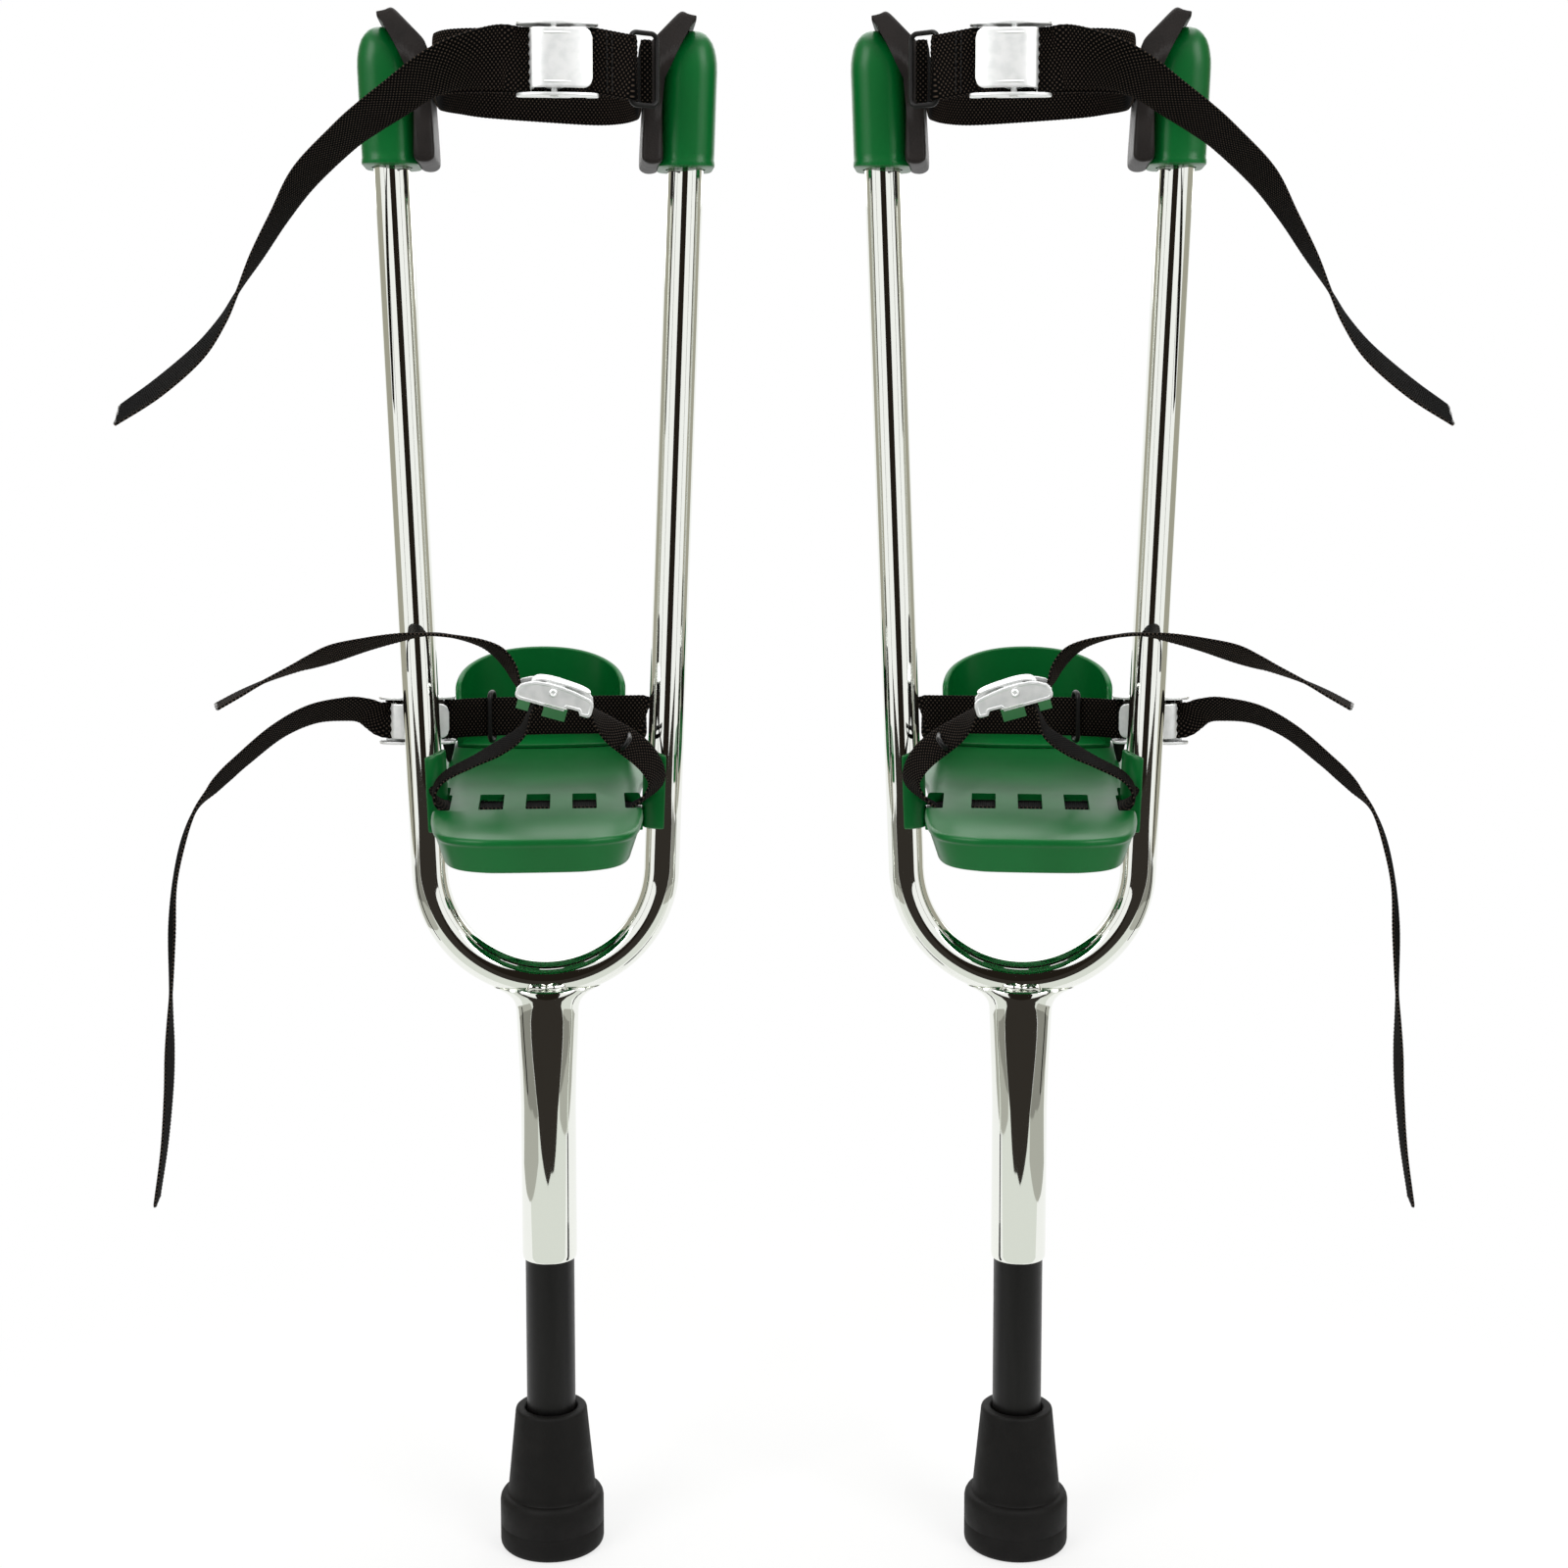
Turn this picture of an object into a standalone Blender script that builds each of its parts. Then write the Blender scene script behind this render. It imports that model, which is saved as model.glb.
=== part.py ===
"""A pair of peg stilts: rubber-footed pegs, chromed U frames, slotted foot plates and cam-buckled straps."""

import math

import bmesh
import bpy
from mathutils import Matrix, Vector

MM = 0.001
GAP = 0.0003

# Stance of the pair
STILT_SPACING = 0.241
TOE_IN = math.radians(5)
PAIR_SHIFT_Y = -0.0274

# Tubes
PEG_DIA = 0.025
PEG_WALL = 0.002
STEM_DIA = 0.028
FRAME_DIA = 0.018
FRAME_WALL = 0.0015
BEND_RADIUS = 0.0585
LEG_SLOPE = 0.0384
BEND_STEPS = 12

# Heights above the ground: the plate's bolts carry the frame, the stem and the plate with them
BOLT_HEIGHT = 0.3803
BOLT_ABOVE_BEND = 0.0823
PLATE_ABOVE_BOLT = 0.0132
FERRULE_HEIGHT = 0.0730
FERRULE_BASE_DIA = 0.0534
FERRULE_BASE_HEIGHT = 0.0278
PEG_FOOT = 0.0143
STEM_LENGTH = 0.1434
PEG_IN_STEM = STEM_LENGTH - 0.056
WELD = 0.002
FRAME_LOW = BOLT_HEIGHT - BOLT_ABOVE_BEND
STEM_FOOT = FRAME_LOW - STEM_LENGTH - WELD
PLATE_TOP = BOLT_HEIGHT + PLATE_ABOVE_BOLT
CAP_FOOT = 0.7045
CAP_HEIGHT = 0.0660
TUBE_IN_CAP = 0.040

# Foot plate and heel cup
PLATE_TILT = math.radians(4)
PLATE_SHIFT = -0.0035
PLATE_HALF_WIDTH = 0.0515
PLATE_FRONT = 0.0945
PLATE_REAR = 0.150
PLATE_HEIGHT = 0.0175
SKIRT_DRAFT = 0.005
PLATE_THICKNESS = 0.004
WALL = 0.003
NOTCH_DEPTH = 0.0085
NOTCH_FRONT = -0.0347
NOTCH_REAR = 0.014
SLOT_WIDTH = 0.012
SLOT_PITCH = 0.023
SLOT_FRONT = -0.034
SLOT_REAR = -0.002
HEEL_HEIGHT = 0.050
HEEL_INSET = 0.0058
HEEL_FRONT = 0.112

# Brackets and their bolts
BRACKET_EDGE = 0.0045
BRACKET_LOW = BOLT_HEIGHT - BRACKET_EDGE
BRACKET_HEIGHT = 0.0385
BRACKET_WALL = 0.0033
BOLT_DIA = 0.0058
BOLT_HEAD_DIA = 0.0096

# Caps and pads
CAP_HALF_WIDTH = 0.0135
CAP_HALF_DEPTH = 0.0223
CAP_LIP = 0.00025
PAD_THICKNESS = 0.0092
PAD_DEPTH = 0.056
PAD_TAPER = 0.0013
PAD_FACE_LOW = 0.0036
PAD_FACE_LENGTH = 0.0530

# Straps and buckles
KNEE_WEBBING = 0.030
FOOT_WEBBING = 0.020
STRAP_THICKNESS = 0.0016
TAIL_THICKNESS = 0.0014
BUCKLE_LENGTH = 0.0386
BUCKLE_SHEET = 0.0015
BUCKLE_HEIGHT = 0.0115
PIN_DIA = 0.003
PIN_ALONG = -0.0015
PIN_ABOVE = 0.0075
BASE_END = 0.006
BAR_ALONG = 0.0167
BAR_DIA = 0.0028
TOOTH_PITCH = 0.0034
RING_WIRE = 0.0025
KNEE_LEVEL = CAP_FOOT + 0.0455
KNEE_SAG = 0.0035
KNEE_BUCKLE = Vector((0.0094, -0.050, KNEE_LEVEL))
ANKLE_LEVEL = PLATE_TOP + 0.0355
ANKLE_BUCKLE = Vector((-0.065, 0.025, ANKLE_LEVEL))
TOE_STRAP_Y = -0.0235
TOE_SWAY = 0.0115
TOE_BUCKLE = Vector((0.004, TOE_STRAP_Y, PLATE_TOP + 0.0475))
TOE_BUCKLE_DIP = math.radians(16)

COLOURS = {
    "green plastic": ((0.004, 0.118, 0.028), 0.25, 0.0),
    "chrome": ((0.78, 0.78, 0.79), 0.08, 1.0),
    "black rubber": ((0.012, 0.012, 0.012), 0.75, 0.0),
    "black tube": ((0.016, 0.016, 0.017), 0.35, 0.3),
    "black foam": ((0.014, 0.012, 0.011), 0.85, 0.0),
    "black webbing": ((0.010, 0.010, 0.011), 0.8, 0.0),
    "black wire": ((0.010, 0.010, 0.010), 0.4, 0.6),
    "zinc": ((0.62, 0.62, 0.60), 0.25, 1.0),
}


def clear_scene():
    for thing in list(bpy.data.objects):
        bpy.data.objects.remove(thing, do_unlink=True)
    for group in list(bpy.data.collections):
        bpy.data.collections.remove(group)


def collection(name):
    group = bpy.data.collections.new(name)
    bpy.context.scene.collection.children.link(group)
    return group


clear_scene()
PARTS = collection("peg_stilts")
CUTTERS = collection("cutters")


def material(name, kind):
    colour, rough, metal = COLOURS[kind]
    made = bpy.data.materials.new(f"{name} {kind}")
    made.use_nodes = True
    shader = made.node_tree.nodes["Principled BSDF"]
    shader.inputs["Base Color"].default_value = (*colour, 1.0)
    shader.inputs["Roughness"].default_value = rough
    shader.inputs["Metallic"].default_value = metal
    return made


def new_object(name, mesh, group):
    made = bpy.data.objects.new(name, mesh)
    group.objects.link(made)
    return made


def mesh_from(name, bm):
    bmesh.ops.recalc_face_normals(bm, faces=bm.faces[:])
    mesh = bpy.data.meshes.new(name)
    bm.to_mesh(mesh)
    bm.free()
    return mesh


def settled(thing, name, group):
    """The object's evaluated mesh as a plain object, with its place in the mesh."""
    bpy.context.view_layer.update()
    seen = thing.evaluated_get(bpy.context.evaluated_depsgraph_get())
    mesh = bpy.data.meshes.new_from_object(seen)
    mesh.transform(thing.matrix_world)
    bm = bmesh.new()
    bm.from_mesh(mesh)
    bmesh.ops.remove_doubles(bm, verts=bm.verts[:], dist=0.00001)
    bpy.data.objects.remove(thing, do_unlink=True)
    return new_object(name, mesh_from(name, bm), group)


def cutter(thing):
    """Moves a solid to the cutters, out of the render."""
    for group in list(thing.users_collection):
        group.objects.unlink(thing)
    CUTTERS.objects.link(thing)
    thing.hide_render = True
    thing.display_type = "WIRE"
    return thing


def joined(thing, others, operation):
    """Applies one Boolean after another and returns the plain result."""
    for other in others:
        step = thing.modifiers.new(operation.lower(), "BOOLEAN")
        step.operation = operation
        step.solver = "EXACT"
        step.object = cutter(other)
    return settled(thing, thing.name, PARTS)


def loft(name, rings, group=PARTS):
    """A solid through rings of points, with both ends filled."""
    bm = bmesh.new()
    loops = [[bm.verts.new(point) for point in ring] for ring in rings]
    for low, high in zip(loops, loops[1:]):
        for i in range(len(low)):
            j = (i + 1) % len(low)
            bm.faces.new((low[i], low[j], high[j], high[i]))
    bm.faces.new(loops[0])
    bm.faces.new(loops[-1])
    return new_object(name, mesh_from(name, bm), group)


def prism(name, outline, low, high):
    """An outline in X and Y carried from one height to another."""
    return loft(name, [[(x, y, z) for x, y in outline] for z in (low, high)])


def moved(thing, matrix):
    thing.data.transform(matrix)
    return thing


def box(name, low, high):
    outline = [(low[0], low[1]), (high[0], low[1]), (high[0], high[1]), (low[0], high[1])]
    return prism(name, outline, low[2], high[2])


def rod(name, start, end, radius, sides=12):
    """A round bar between two points."""
    start = Vector(start)
    along = Vector(end) - start
    turn = along.to_track_quat("Z", "Y").to_matrix().to_4x4()
    angles = [2 * math.pi * i / sides for i in range(sides)]
    outline = [(radius * math.cos(a), radius * math.sin(a)) for a in angles]
    return moved(prism(name, outline, 0, along.length), Matrix.Translation(start) @ turn)


def turned(name, profile, steps):
    """A profile of radius and height spun about Z by a Screw modifier."""
    mesh = bpy.data.meshes.new(name)
    edges = [(i, i + 1) for i in range(len(profile) - 1)]
    mesh.from_pydata([(r, 0, z) for r, z in profile], edges, [])
    thing = new_object(name, mesh, PARTS)
    spin = thing.modifiers.new("spin", "SCREW")
    spin.steps = steps
    spin.render_steps = steps
    spin.use_merge_vertices = True
    spin.merge_threshold = 0.00001
    return settled(thing, name, PARTS)


def pipe(name, points, radius, resolution, cyclic=False, wall=0):
    """A round wire along points, or a tube with a wall: a curve with a bevel, made a mesh."""
    curve = bpy.data.curves.new(name, "CURVE")
    curve.dimensions = "3D"
    curve.bevel_depth = radius
    curve.bevel_resolution = resolution
    curve.use_fill_caps = not cyclic and not wall
    line = curve.splines.new("POLY")
    line.points.add(len(points) - 1)
    for spot, point in zip(line.points, points):
        spot.co = (*point, 1.0)
    line.use_cyclic_u = cyclic
    made = settled(new_object(name, curve, PARTS), name, PARTS)
    return hollow(made, wall, -1) if wall else made


def hollow(thing, wall, offset):
    """Gives a sheet its thickness, inward for an offset of -1 and to both sides for 0."""
    skin = thing.modifiers.new("thickness", "SOLIDIFY")
    skin.thickness = wall
    skin.offset = offset
    skin.use_even_offset = True
    return settled(thing, thing.name, PARTS)


def ribbon(name, centres, across, width, thickness, cyclic=False):
    """A flat band along points, each with its own width direction, thickened by Solidify."""
    bm = bmesh.new()
    rows = []
    for centre, side in zip(centres, across):
        half = Vector(side).normalized() * width / 2
        rows.append((bm.verts.new(Vector(centre) - half), bm.verts.new(Vector(centre) + half)))
    pairs = list(zip(rows, rows[1:]))
    if cyclic:
        pairs.append((rows[-1], rows[0]))
    for (a, b), (c, d) in pairs:
        bm.faces.new((a, b, d, c))
    return hollow(new_object(name, mesh_from(name, bm), PARTS), thickness, 0)


def smooth(points, steps):
    """Points on a Catmull-Rom curve through the given ones."""
    points = [Vector(p) for p in points]
    ends = [2 * points[0] - points[1], *points, 2 * points[-1] - points[-2]]
    line = []
    for a, b, c, d in zip(ends, ends[1:], ends[2:], ends[3:]):
        for i in range(steps):
            t = i / steps
            curve = (2 * b + (c - a) * t + (2 * a - 5 * b + 4 * c - d) * t * t)
            line.append((curve + (3 * b - a - 3 * c + d) * t ** 3) / 2)
    return [*line, points[-1]]


def leg_x(height):
    """How far a leg's centreline is from the stilt's axis at a height."""
    lean = math.atan(LEG_SLOPE)
    start = FRAME_LOW + BEND_RADIUS * (1 - math.sin(lean))
    return BEND_RADIUS * math.cos(lean) + LEG_SLOPE * (height - start)


def frame_line(top):
    """The U frame's centreline, from the outer leg's top round to the inner leg's."""
    lean = math.atan(LEG_SLOPE)
    line = [(-leg_x(top), 0, top)]
    for i in range(BEND_STEPS + 1):
        a = math.pi + lean + (math.pi - 2 * lean) * i / BEND_STEPS
        line.append((BEND_RADIUS * math.cos(a), 0, FRAME_LOW + BEND_RADIUS * (1 + math.sin(a))))
    return [*line, (leg_x(top), 0, top)]


def build_ferrule():
    base = FERRULE_BASE_DIA / 2
    bore = PEG_DIA / 2 + GAP
    step = FERRULE_BASE_HEIGHT
    top = FERRULE_HEIGHT
    profile = [
        (0, PEG_FOOT - GAP),
        (bore, PEG_FOOT - GAP),
        (bore, top - 0.006),
        (bore + 0.0015, top - 0.005),
        (bore + 0.0015, top),
        (base - 0.0088, top),
        (base - 0.0083, top - 0.0006),
        (base - 0.0041, step + 0.003),
        (base - 0.0036, step + 0.0008),
        (base - 0.0022, step),
        (base - 0.0006, step - 0.0008),
        (base, step - 0.003),
        (base, 0.003),
        (base - 0.0008, 0.0009),
        (base - 0.0022, 0),
        (0, 0),
    ]
    return turned("ferrule", profile, 24)


def build_peg():
    top = STEM_FOOT + PEG_IN_STEM
    profile = [
        (PEG_DIA / 2 - PEG_WALL, top),
        (PEG_DIA / 2, top),
        (PEG_DIA / 2, PEG_FOOT),
        (PEG_DIA / 2 - PEG_WALL, PEG_FOOT),
        (PEG_DIA / 2 - PEG_WALL, top),
    ]
    return turned("peg_tube", profile, 18)


def build_stem():
    r = STEM_DIA / 2
    sections = [
        (0, r - 0.0009, r - 0.0009),
        (0.0007, r - 0.0003, r - 0.0003),
        (0.0025, r, r),
        (STEM_LENGTH - 0.052, r, r),
        (STEM_LENGTH - 0.036, r + 0.0007, r - 0.0006),
        (STEM_LENGTH - 0.022, r + 0.0014, r - 0.0014),
        (STEM_LENGTH - 0.0125, r + 0.0016, r - 0.0017),
        (STEM_LENGTH - 0.009, r + 0.003, r - 0.0017),
        (STEM_LENGTH - 0.0055, r + 0.006, r - 0.002),
        (STEM_LENGTH - 0.0025, r + 0.008, r - 0.0028),
        (STEM_LENGTH, r + 0.007, r - 0.0035),
    ]
    sides = 18
    angles = [2 * math.pi * i / sides for i in range(sides)]
    rings = [
        [(wide * math.cos(a), deep * math.sin(a), STEM_FOOT + up) for a in angles]
        for up, wide, deep in sections
    ]
    stem = loft("stem", rings)
    bore = rod("stem_bore", (0, 0, STEM_FOOT - 0.005), (0, 0, STEM_FOOT + PEG_IN_STEM + 0.005), PEG_DIA / 2 + 2 * GAP, 18)
    saddle = pipe("stem_saddle", frame_line(PLATE_TOP), FRAME_DIA / 2 + 2 * GAP, 4)
    return joined(stem, [bore, saddle], "DIFFERENCE")


def bolt_hole(side, name):
    face = leg_x(BOLT_HEIGHT) - FRAME_DIA / 2
    start = (side * (face - 0.012), 0, BOLT_HEIGHT)
    return rod(name, start, (side * (face + 0.006), 0, BOLT_HEIGHT), BOLT_DIA / 2 + GAP)


def build_frame():
    tube = pipe("u_tube", frame_line(CAP_FOOT + TUBE_IN_CAP), FRAME_DIA / 2, 4, wall=FRAME_WALL)
    return joined(tube, [bolt_hole(side, "u_bolt_hole") for side in (-1, 1)], "DIFFERENCE")


def plate_tilt():
    return Matrix.Translation((0, 0, PLATE_TOP)) @ Matrix.Rotation(PLATE_TILT, 4, "X")


def plate_matrix():
    """The plate's own frame, moulded a little off the stilt's axis."""
    return Matrix.Translation((PLATE_SHIFT, 0, 0)) @ plate_tilt()


def plate_outline(inset):
    """The plate's plan, drawn in by an even inset."""
    half = PLATE_HALF_WIDTH - inset
    front = PLATE_FRONT - inset
    rear = PLATE_REAR - inset
    right = [
        (0.35 * half, -front),
        (0.58 * half, 0.0018 - front),
        (0.76 * half, 0.0058 - front),
        (0.875 * half, 0.0122 - front),
        (0.942 * half, 0.0222 - front),
        (0.977 * half, 0.0362 - front),
        (half, 0.0545 - front),
        (half, rear - 0.050),
        (0.981 * half, rear - 0.034),
        (0.903 * half, rear - 0.019),
        (0.738 * half, rear - 0.008),
        (0.485 * half, rear - 0.002),
        (0.2 * half, rear),
    ]
    return [*right, *[(-x, y) for x, y in reversed(right)]]


def level(outline, height):
    return [(x, y, height) for x, y in outline]


def build_plate():
    rings = [
        level(plate_outline(SKIRT_DRAFT), -PLATE_HEIGHT),
        level(plate_outline(0), -0.0018),
        level(plate_outline(0.0005), -0.0005),
        level(plate_outline(0.0018), 0),
    ]
    plate = loft("foot_plate", rings)
    inside = [
        level(plate_outline(WALL + SKIRT_DRAFT), -PLATE_HEIGHT - 0.002),
        level(plate_outline(WALL), -PLATE_THICKNESS),
    ]
    cuts = [loft("plate_pocket", inside)]
    for i in (-1, 0, 1):
        low = (i * SLOT_PITCH - SLOT_WIDTH / 2, SLOT_FRONT, -0.01)
        high = (i * SLOT_PITCH + SLOT_WIDTH / 2, SLOT_REAR, 0.01)
        cuts.append(box("plate_slot", low, high))
    for side in (-1, 1):
        edges = sorted((side * (PLATE_HALF_WIDTH - NOTCH_DEPTH), side * (PLATE_HALF_WIDTH + 0.01)))
        low = (edges[0], NOTCH_FRONT, -0.03)
        cuts.append(box("plate_notch", low, (edges[1], NOTCH_REAR, 0.01)))
    plate = joined(plate, cuts, "DIFFERENCE")
    reach = PLATE_HALF_WIDTH - SKIRT_DRAFT - 0.001
    rib = 0.0012
    low, high = 0.003 - PLATE_HEIGHT, 0.0005 - PLATE_THICKNESS
    ribs = [
        box("rib_front", (-reach, NOTCH_FRONT - 0.004 - rib, low), (reach, NOTCH_FRONT - 0.004 + rib, high)),
        box("rib_rear", (-reach, NOTCH_REAR + 0.004 - rib, low), (reach, NOTCH_REAR + 0.004 + rib, high)),
    ]
    for side in (-1, 1):
        x = side * 0.4 * PLATE_HALF_WIDTH
        start = (x - rib, NOTCH_REAR + 0.004, low + 0.0006)
        ribs.append(box("rib_long", start, (x + rib, PLATE_REAR - SKIRT_DRAFT - 0.003, high + 0.0002)))
    plate = joined(plate, ribs, "UNION")
    return moved(plate, plate_matrix())


def heel_line(inset, front):
    """The heel's plan from its right front end round to its left, drawn in from the plate's edge."""
    half = PLATE_HALF_WIDTH - inset
    rear = PLATE_REAR - inset + 0.003
    right = [
        (half, front),
        (half, rear - 0.030),
        (0.93 * half, rear - 0.018),
        (0.76 * half, rear - 0.008),
        (0.50 * half, rear - 0.002),
        (0.18 * half, rear),
    ]
    return [*right, *[(-x, y) for x, y in reversed(right)]]


def build_heel():
    """The heel cup: a bent wall with an arched rim on a thin foot with a curved front edge."""
    wall = heel_line(HEEL_INSET + WALL / 2, HEEL_FRONT)
    rims = [0.52, 0.70, 0.81, 0.895, 0.96, 0.995]
    rims = [*rims, *reversed(rims)]
    bm = bmesh.new()
    rows = []
    for (x, y), rim in zip(wall, rims):
        flare = 1 + 0.02 * rim
        heights = (0.001, 0.5 * HEEL_HEIGHT * rim, HEEL_HEIGHT * rim)
        rows.append([bm.verts.new((x * (flare if z > 0.002 else 1), y, z)) for z in heights])
    for one, two in zip(rows, rows[1:]):
        for i in range(2):
            bm.faces.new((one[i], two[i], two[i + 1], one[i + 1]))
    cup = new_object("heel_cup", mesh_from("heel_cup", bm), PARTS)
    cup = hollow(cup, WALL, 0)
    half = PLATE_HALF_WIDTH - HEEL_INSET - 0.0004
    arc = [(half * t, HEEL_FRONT - 0.005 * (1 - t * t) - 0.001) for t in (-1, -0.6, -0.2, 0.2, 0.6, 1)]
    floor = prism("heel_floor", [*arc, *heel_line(HEEL_INSET + 0.0004, HEEL_FRONT)[1:-1]], GAP, 0.0022)
    cup = joined(cup, [floor], "UNION")
    return moved(cup, plate_matrix())


def build_bracket(name, side):
    """A saddle on the leg's inward half, with a tongue under the plate and a flat for its bolt."""
    near = FRAME_DIA / 2 + GAP
    far = near + BRACKET_WALL
    spread = [math.radians(a) for a in range(-96, 97, 24)]
    outline = [(far * math.cos(a), far * math.sin(a)) for a in spread]
    outline += [(near * math.cos(a), near * math.sin(a)) for a in reversed(spread)]
    rings = []
    for low, share in ((True, 0.86), (True, 1), (False, 1)):
        ring = []
        for inward, y in outline:
            z = BRACKET_LOW + (0 if share < 1 else 0.003)
            if not low:
                z = BRACKET_LOW + BRACKET_HEIGHT + 0.3 * (inward - near) + 0.0015
            reach = near + (inward - near) * share if inward > near else inward
            ring.append((side * (leg_x(z) - reach), y, z))
        rings.append(ring)
    bracket = loft(name, rings)
    face = leg_x(BOLT_HEIGHT) - far - 0.001
    edges = sorted((side * face, side * (face + 0.003)))
    flat = box("bracket_flat", (edges[0], -0.006, BOLT_HEIGHT - 0.0055), (edges[1], 0.006, BOLT_HEIGHT + 0.0052))
    edges = sorted((side * 0.030, side * (leg_x(PLATE_TOP) - near - 0.0018)))
    low = -PLATE_THICKNESS - GAP - 0.003
    tongue = box("bracket_tongue", (edges[0], 0.0005, low), (edges[1], 0.0095, -PLATE_THICKNESS - GAP))
    bracket = joined(bracket, [flat, moved(tongue, plate_tilt())], "UNION")
    return joined(bracket, [bolt_hole(side, "bracket_hole")], "DIFFERENCE")


def build_bolt(name, side):
    head = BOLT_HEAD_DIA / 2
    profile = [(0, 0.0036), (0.45 * head, 0.0033), (0.82 * head, 0.0021), (head, 0.0005), (head, 0)]
    profile += [(BOLT_DIA / 2, 0), (BOLT_DIA / 2, -0.0085), (0, -0.0085)]
    bolt = turned(name, profile, 10)
    far = FRAME_DIA / 2 + 2 * GAP + BRACKET_WALL + 0.001
    place = Matrix.Translation((side * (leg_x(BOLT_HEIGHT) - far), 0, BOLT_HEIGHT))
    return moved(bolt, place @ Matrix.Rotation(-side * math.pi / 2, 4, "Y"))


def rounded(inner, outer, half_y, corner):
    """A rounded rectangle in plan, as distances inward from the leg and across."""
    spots = []
    for x, y, start in ((inner, half_y, 0), (-outer, half_y, 90), (-outer, -half_y, 180), (inner, -half_y, 270)):
        cx = x - math.copysign(corner, x)
        cy = y - math.copysign(corner, y)
        for step in (0, 45, 90):
            a = math.radians(start + step)
            spots.append((cx + corner * math.cos(a), cy + corner * math.sin(a)))
    return spots


def build_cap(name, side):
    w, d = CAP_HALF_WIDTH, CAP_HALF_DEPTH
    top = CAP_HEIGHT
    sections = [
        (0, w, w, d, 0.010),
        (0.0006, w + CAP_LIP, w + CAP_LIP, d + CAP_LIP, 0.010),
        (0.0028, w + CAP_LIP, w + CAP_LIP, d + CAP_LIP, 0.010),
        (0.0032, w, w, d, 0.010),
        (top - 0.020, w, w, d, 0.010),
        (top - 0.0125, w - 0.0009, w - 0.0007, d - 0.0005, 0.010),
        (top - 0.0065, w - 0.0066, w - 0.0026, d - 0.0023, 0.008),
        (top - 0.0022, w - 0.0110, w - 0.0060, d - 0.0058, 0.0045),
        (top, w - 0.0128, w - 0.0095, d - 0.0105, 0.002),
    ]
    rings = []
    for up, inner, outer, half_y, corner in sections:
        z = CAP_FOOT + up
        corner = min(corner, (inner + outer) / 2 - 0.0001)
        spots = rounded(inner, outer, half_y, corner)
        rings.append([(side * (leg_x(z) - inward), y, z) for inward, y in spots])
    cap = loft(name, rings)
    low, high = CAP_FOOT - 0.02, CAP_FOOT + TUBE_IN_CAP + GAP
    start = (side * leg_x(low), 0, low)
    bore = rod("cap_bore", start, (side * leg_x(high), 0, high), FRAME_DIA / 2 + 2 * GAP, 12)
    return joined(cap, [bore], "DIFFERENCE")


def pad_face(height):
    """How far inward from its leg a pad's face is at a height."""
    share = (height - CAP_FOOT - PAD_FACE_LOW) / PAD_FACE_LENGTH
    return CAP_HALF_WIDTH + CAP_LIP + GAP + PAD_THICKNESS - 0.0004 - PAD_TAPER * share


def build_pad(name, side):
    """A foam pad on the cap's inward face, bent outward over the cap's slanted top."""
    near = CAP_HALF_WIDTH + CAP_LIP + GAP
    far = near + PAD_THICKNESS
    slant = CAP_HEIGHT + 0.0013
    skew = PAD_THICKNESS * math.sqrt(2)
    kink = PAD_FACE_LOW + PAD_FACE_LENGTH
    profile = [
        (near, 0.0035),
        (near + 0.0012, 0.0008),
        (near + 0.0045, 0),
        (far - 0.0022, 0.0008),
        (pad_face(CAP_FOOT + PAD_FACE_LOW), PAD_FACE_LOW),
        (pad_face(CAP_FOOT + kink), kink),
        (0.0060, slant + skew - 0.0065),
        (-0.0012, slant + 0.0012),
        (near, slant - near),
    ]
    half = PAD_DEPTH / 2
    soft = 0.0015
    rings = []
    for y, inset in ((-half, soft), (soft - half, 0), (half - soft, 0), (half, soft)):
        ring = []
        for inward, up in profile:
            middle = (near + far) / 2
            pull = inset / PAD_THICKNESS * 2
            z = CAP_FOOT + up
            if up < slant - near - 0.001:
                inward = inward + (middle - inward) * pull
            ring.append((side * (leg_x(z) - inward), y, z))
        rings.append(ring)
    return loft(name, rings)


def buckle_matrix(place, along, across):
    """A buckle's own frame: X along its webbing, Y across it, Z out of its face."""
    out = along.cross(across)
    turn = Matrix((along, across, out)).transposed().to_4x4()
    return Matrix.Translation(place) @ turn


def side_plate(name, outline, low, high):
    """An outline in X and Z carried across the buckle from one Y to another."""
    return loft(name, [[(x, y, z) for x, z in outline] for y in (low, high)])


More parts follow.
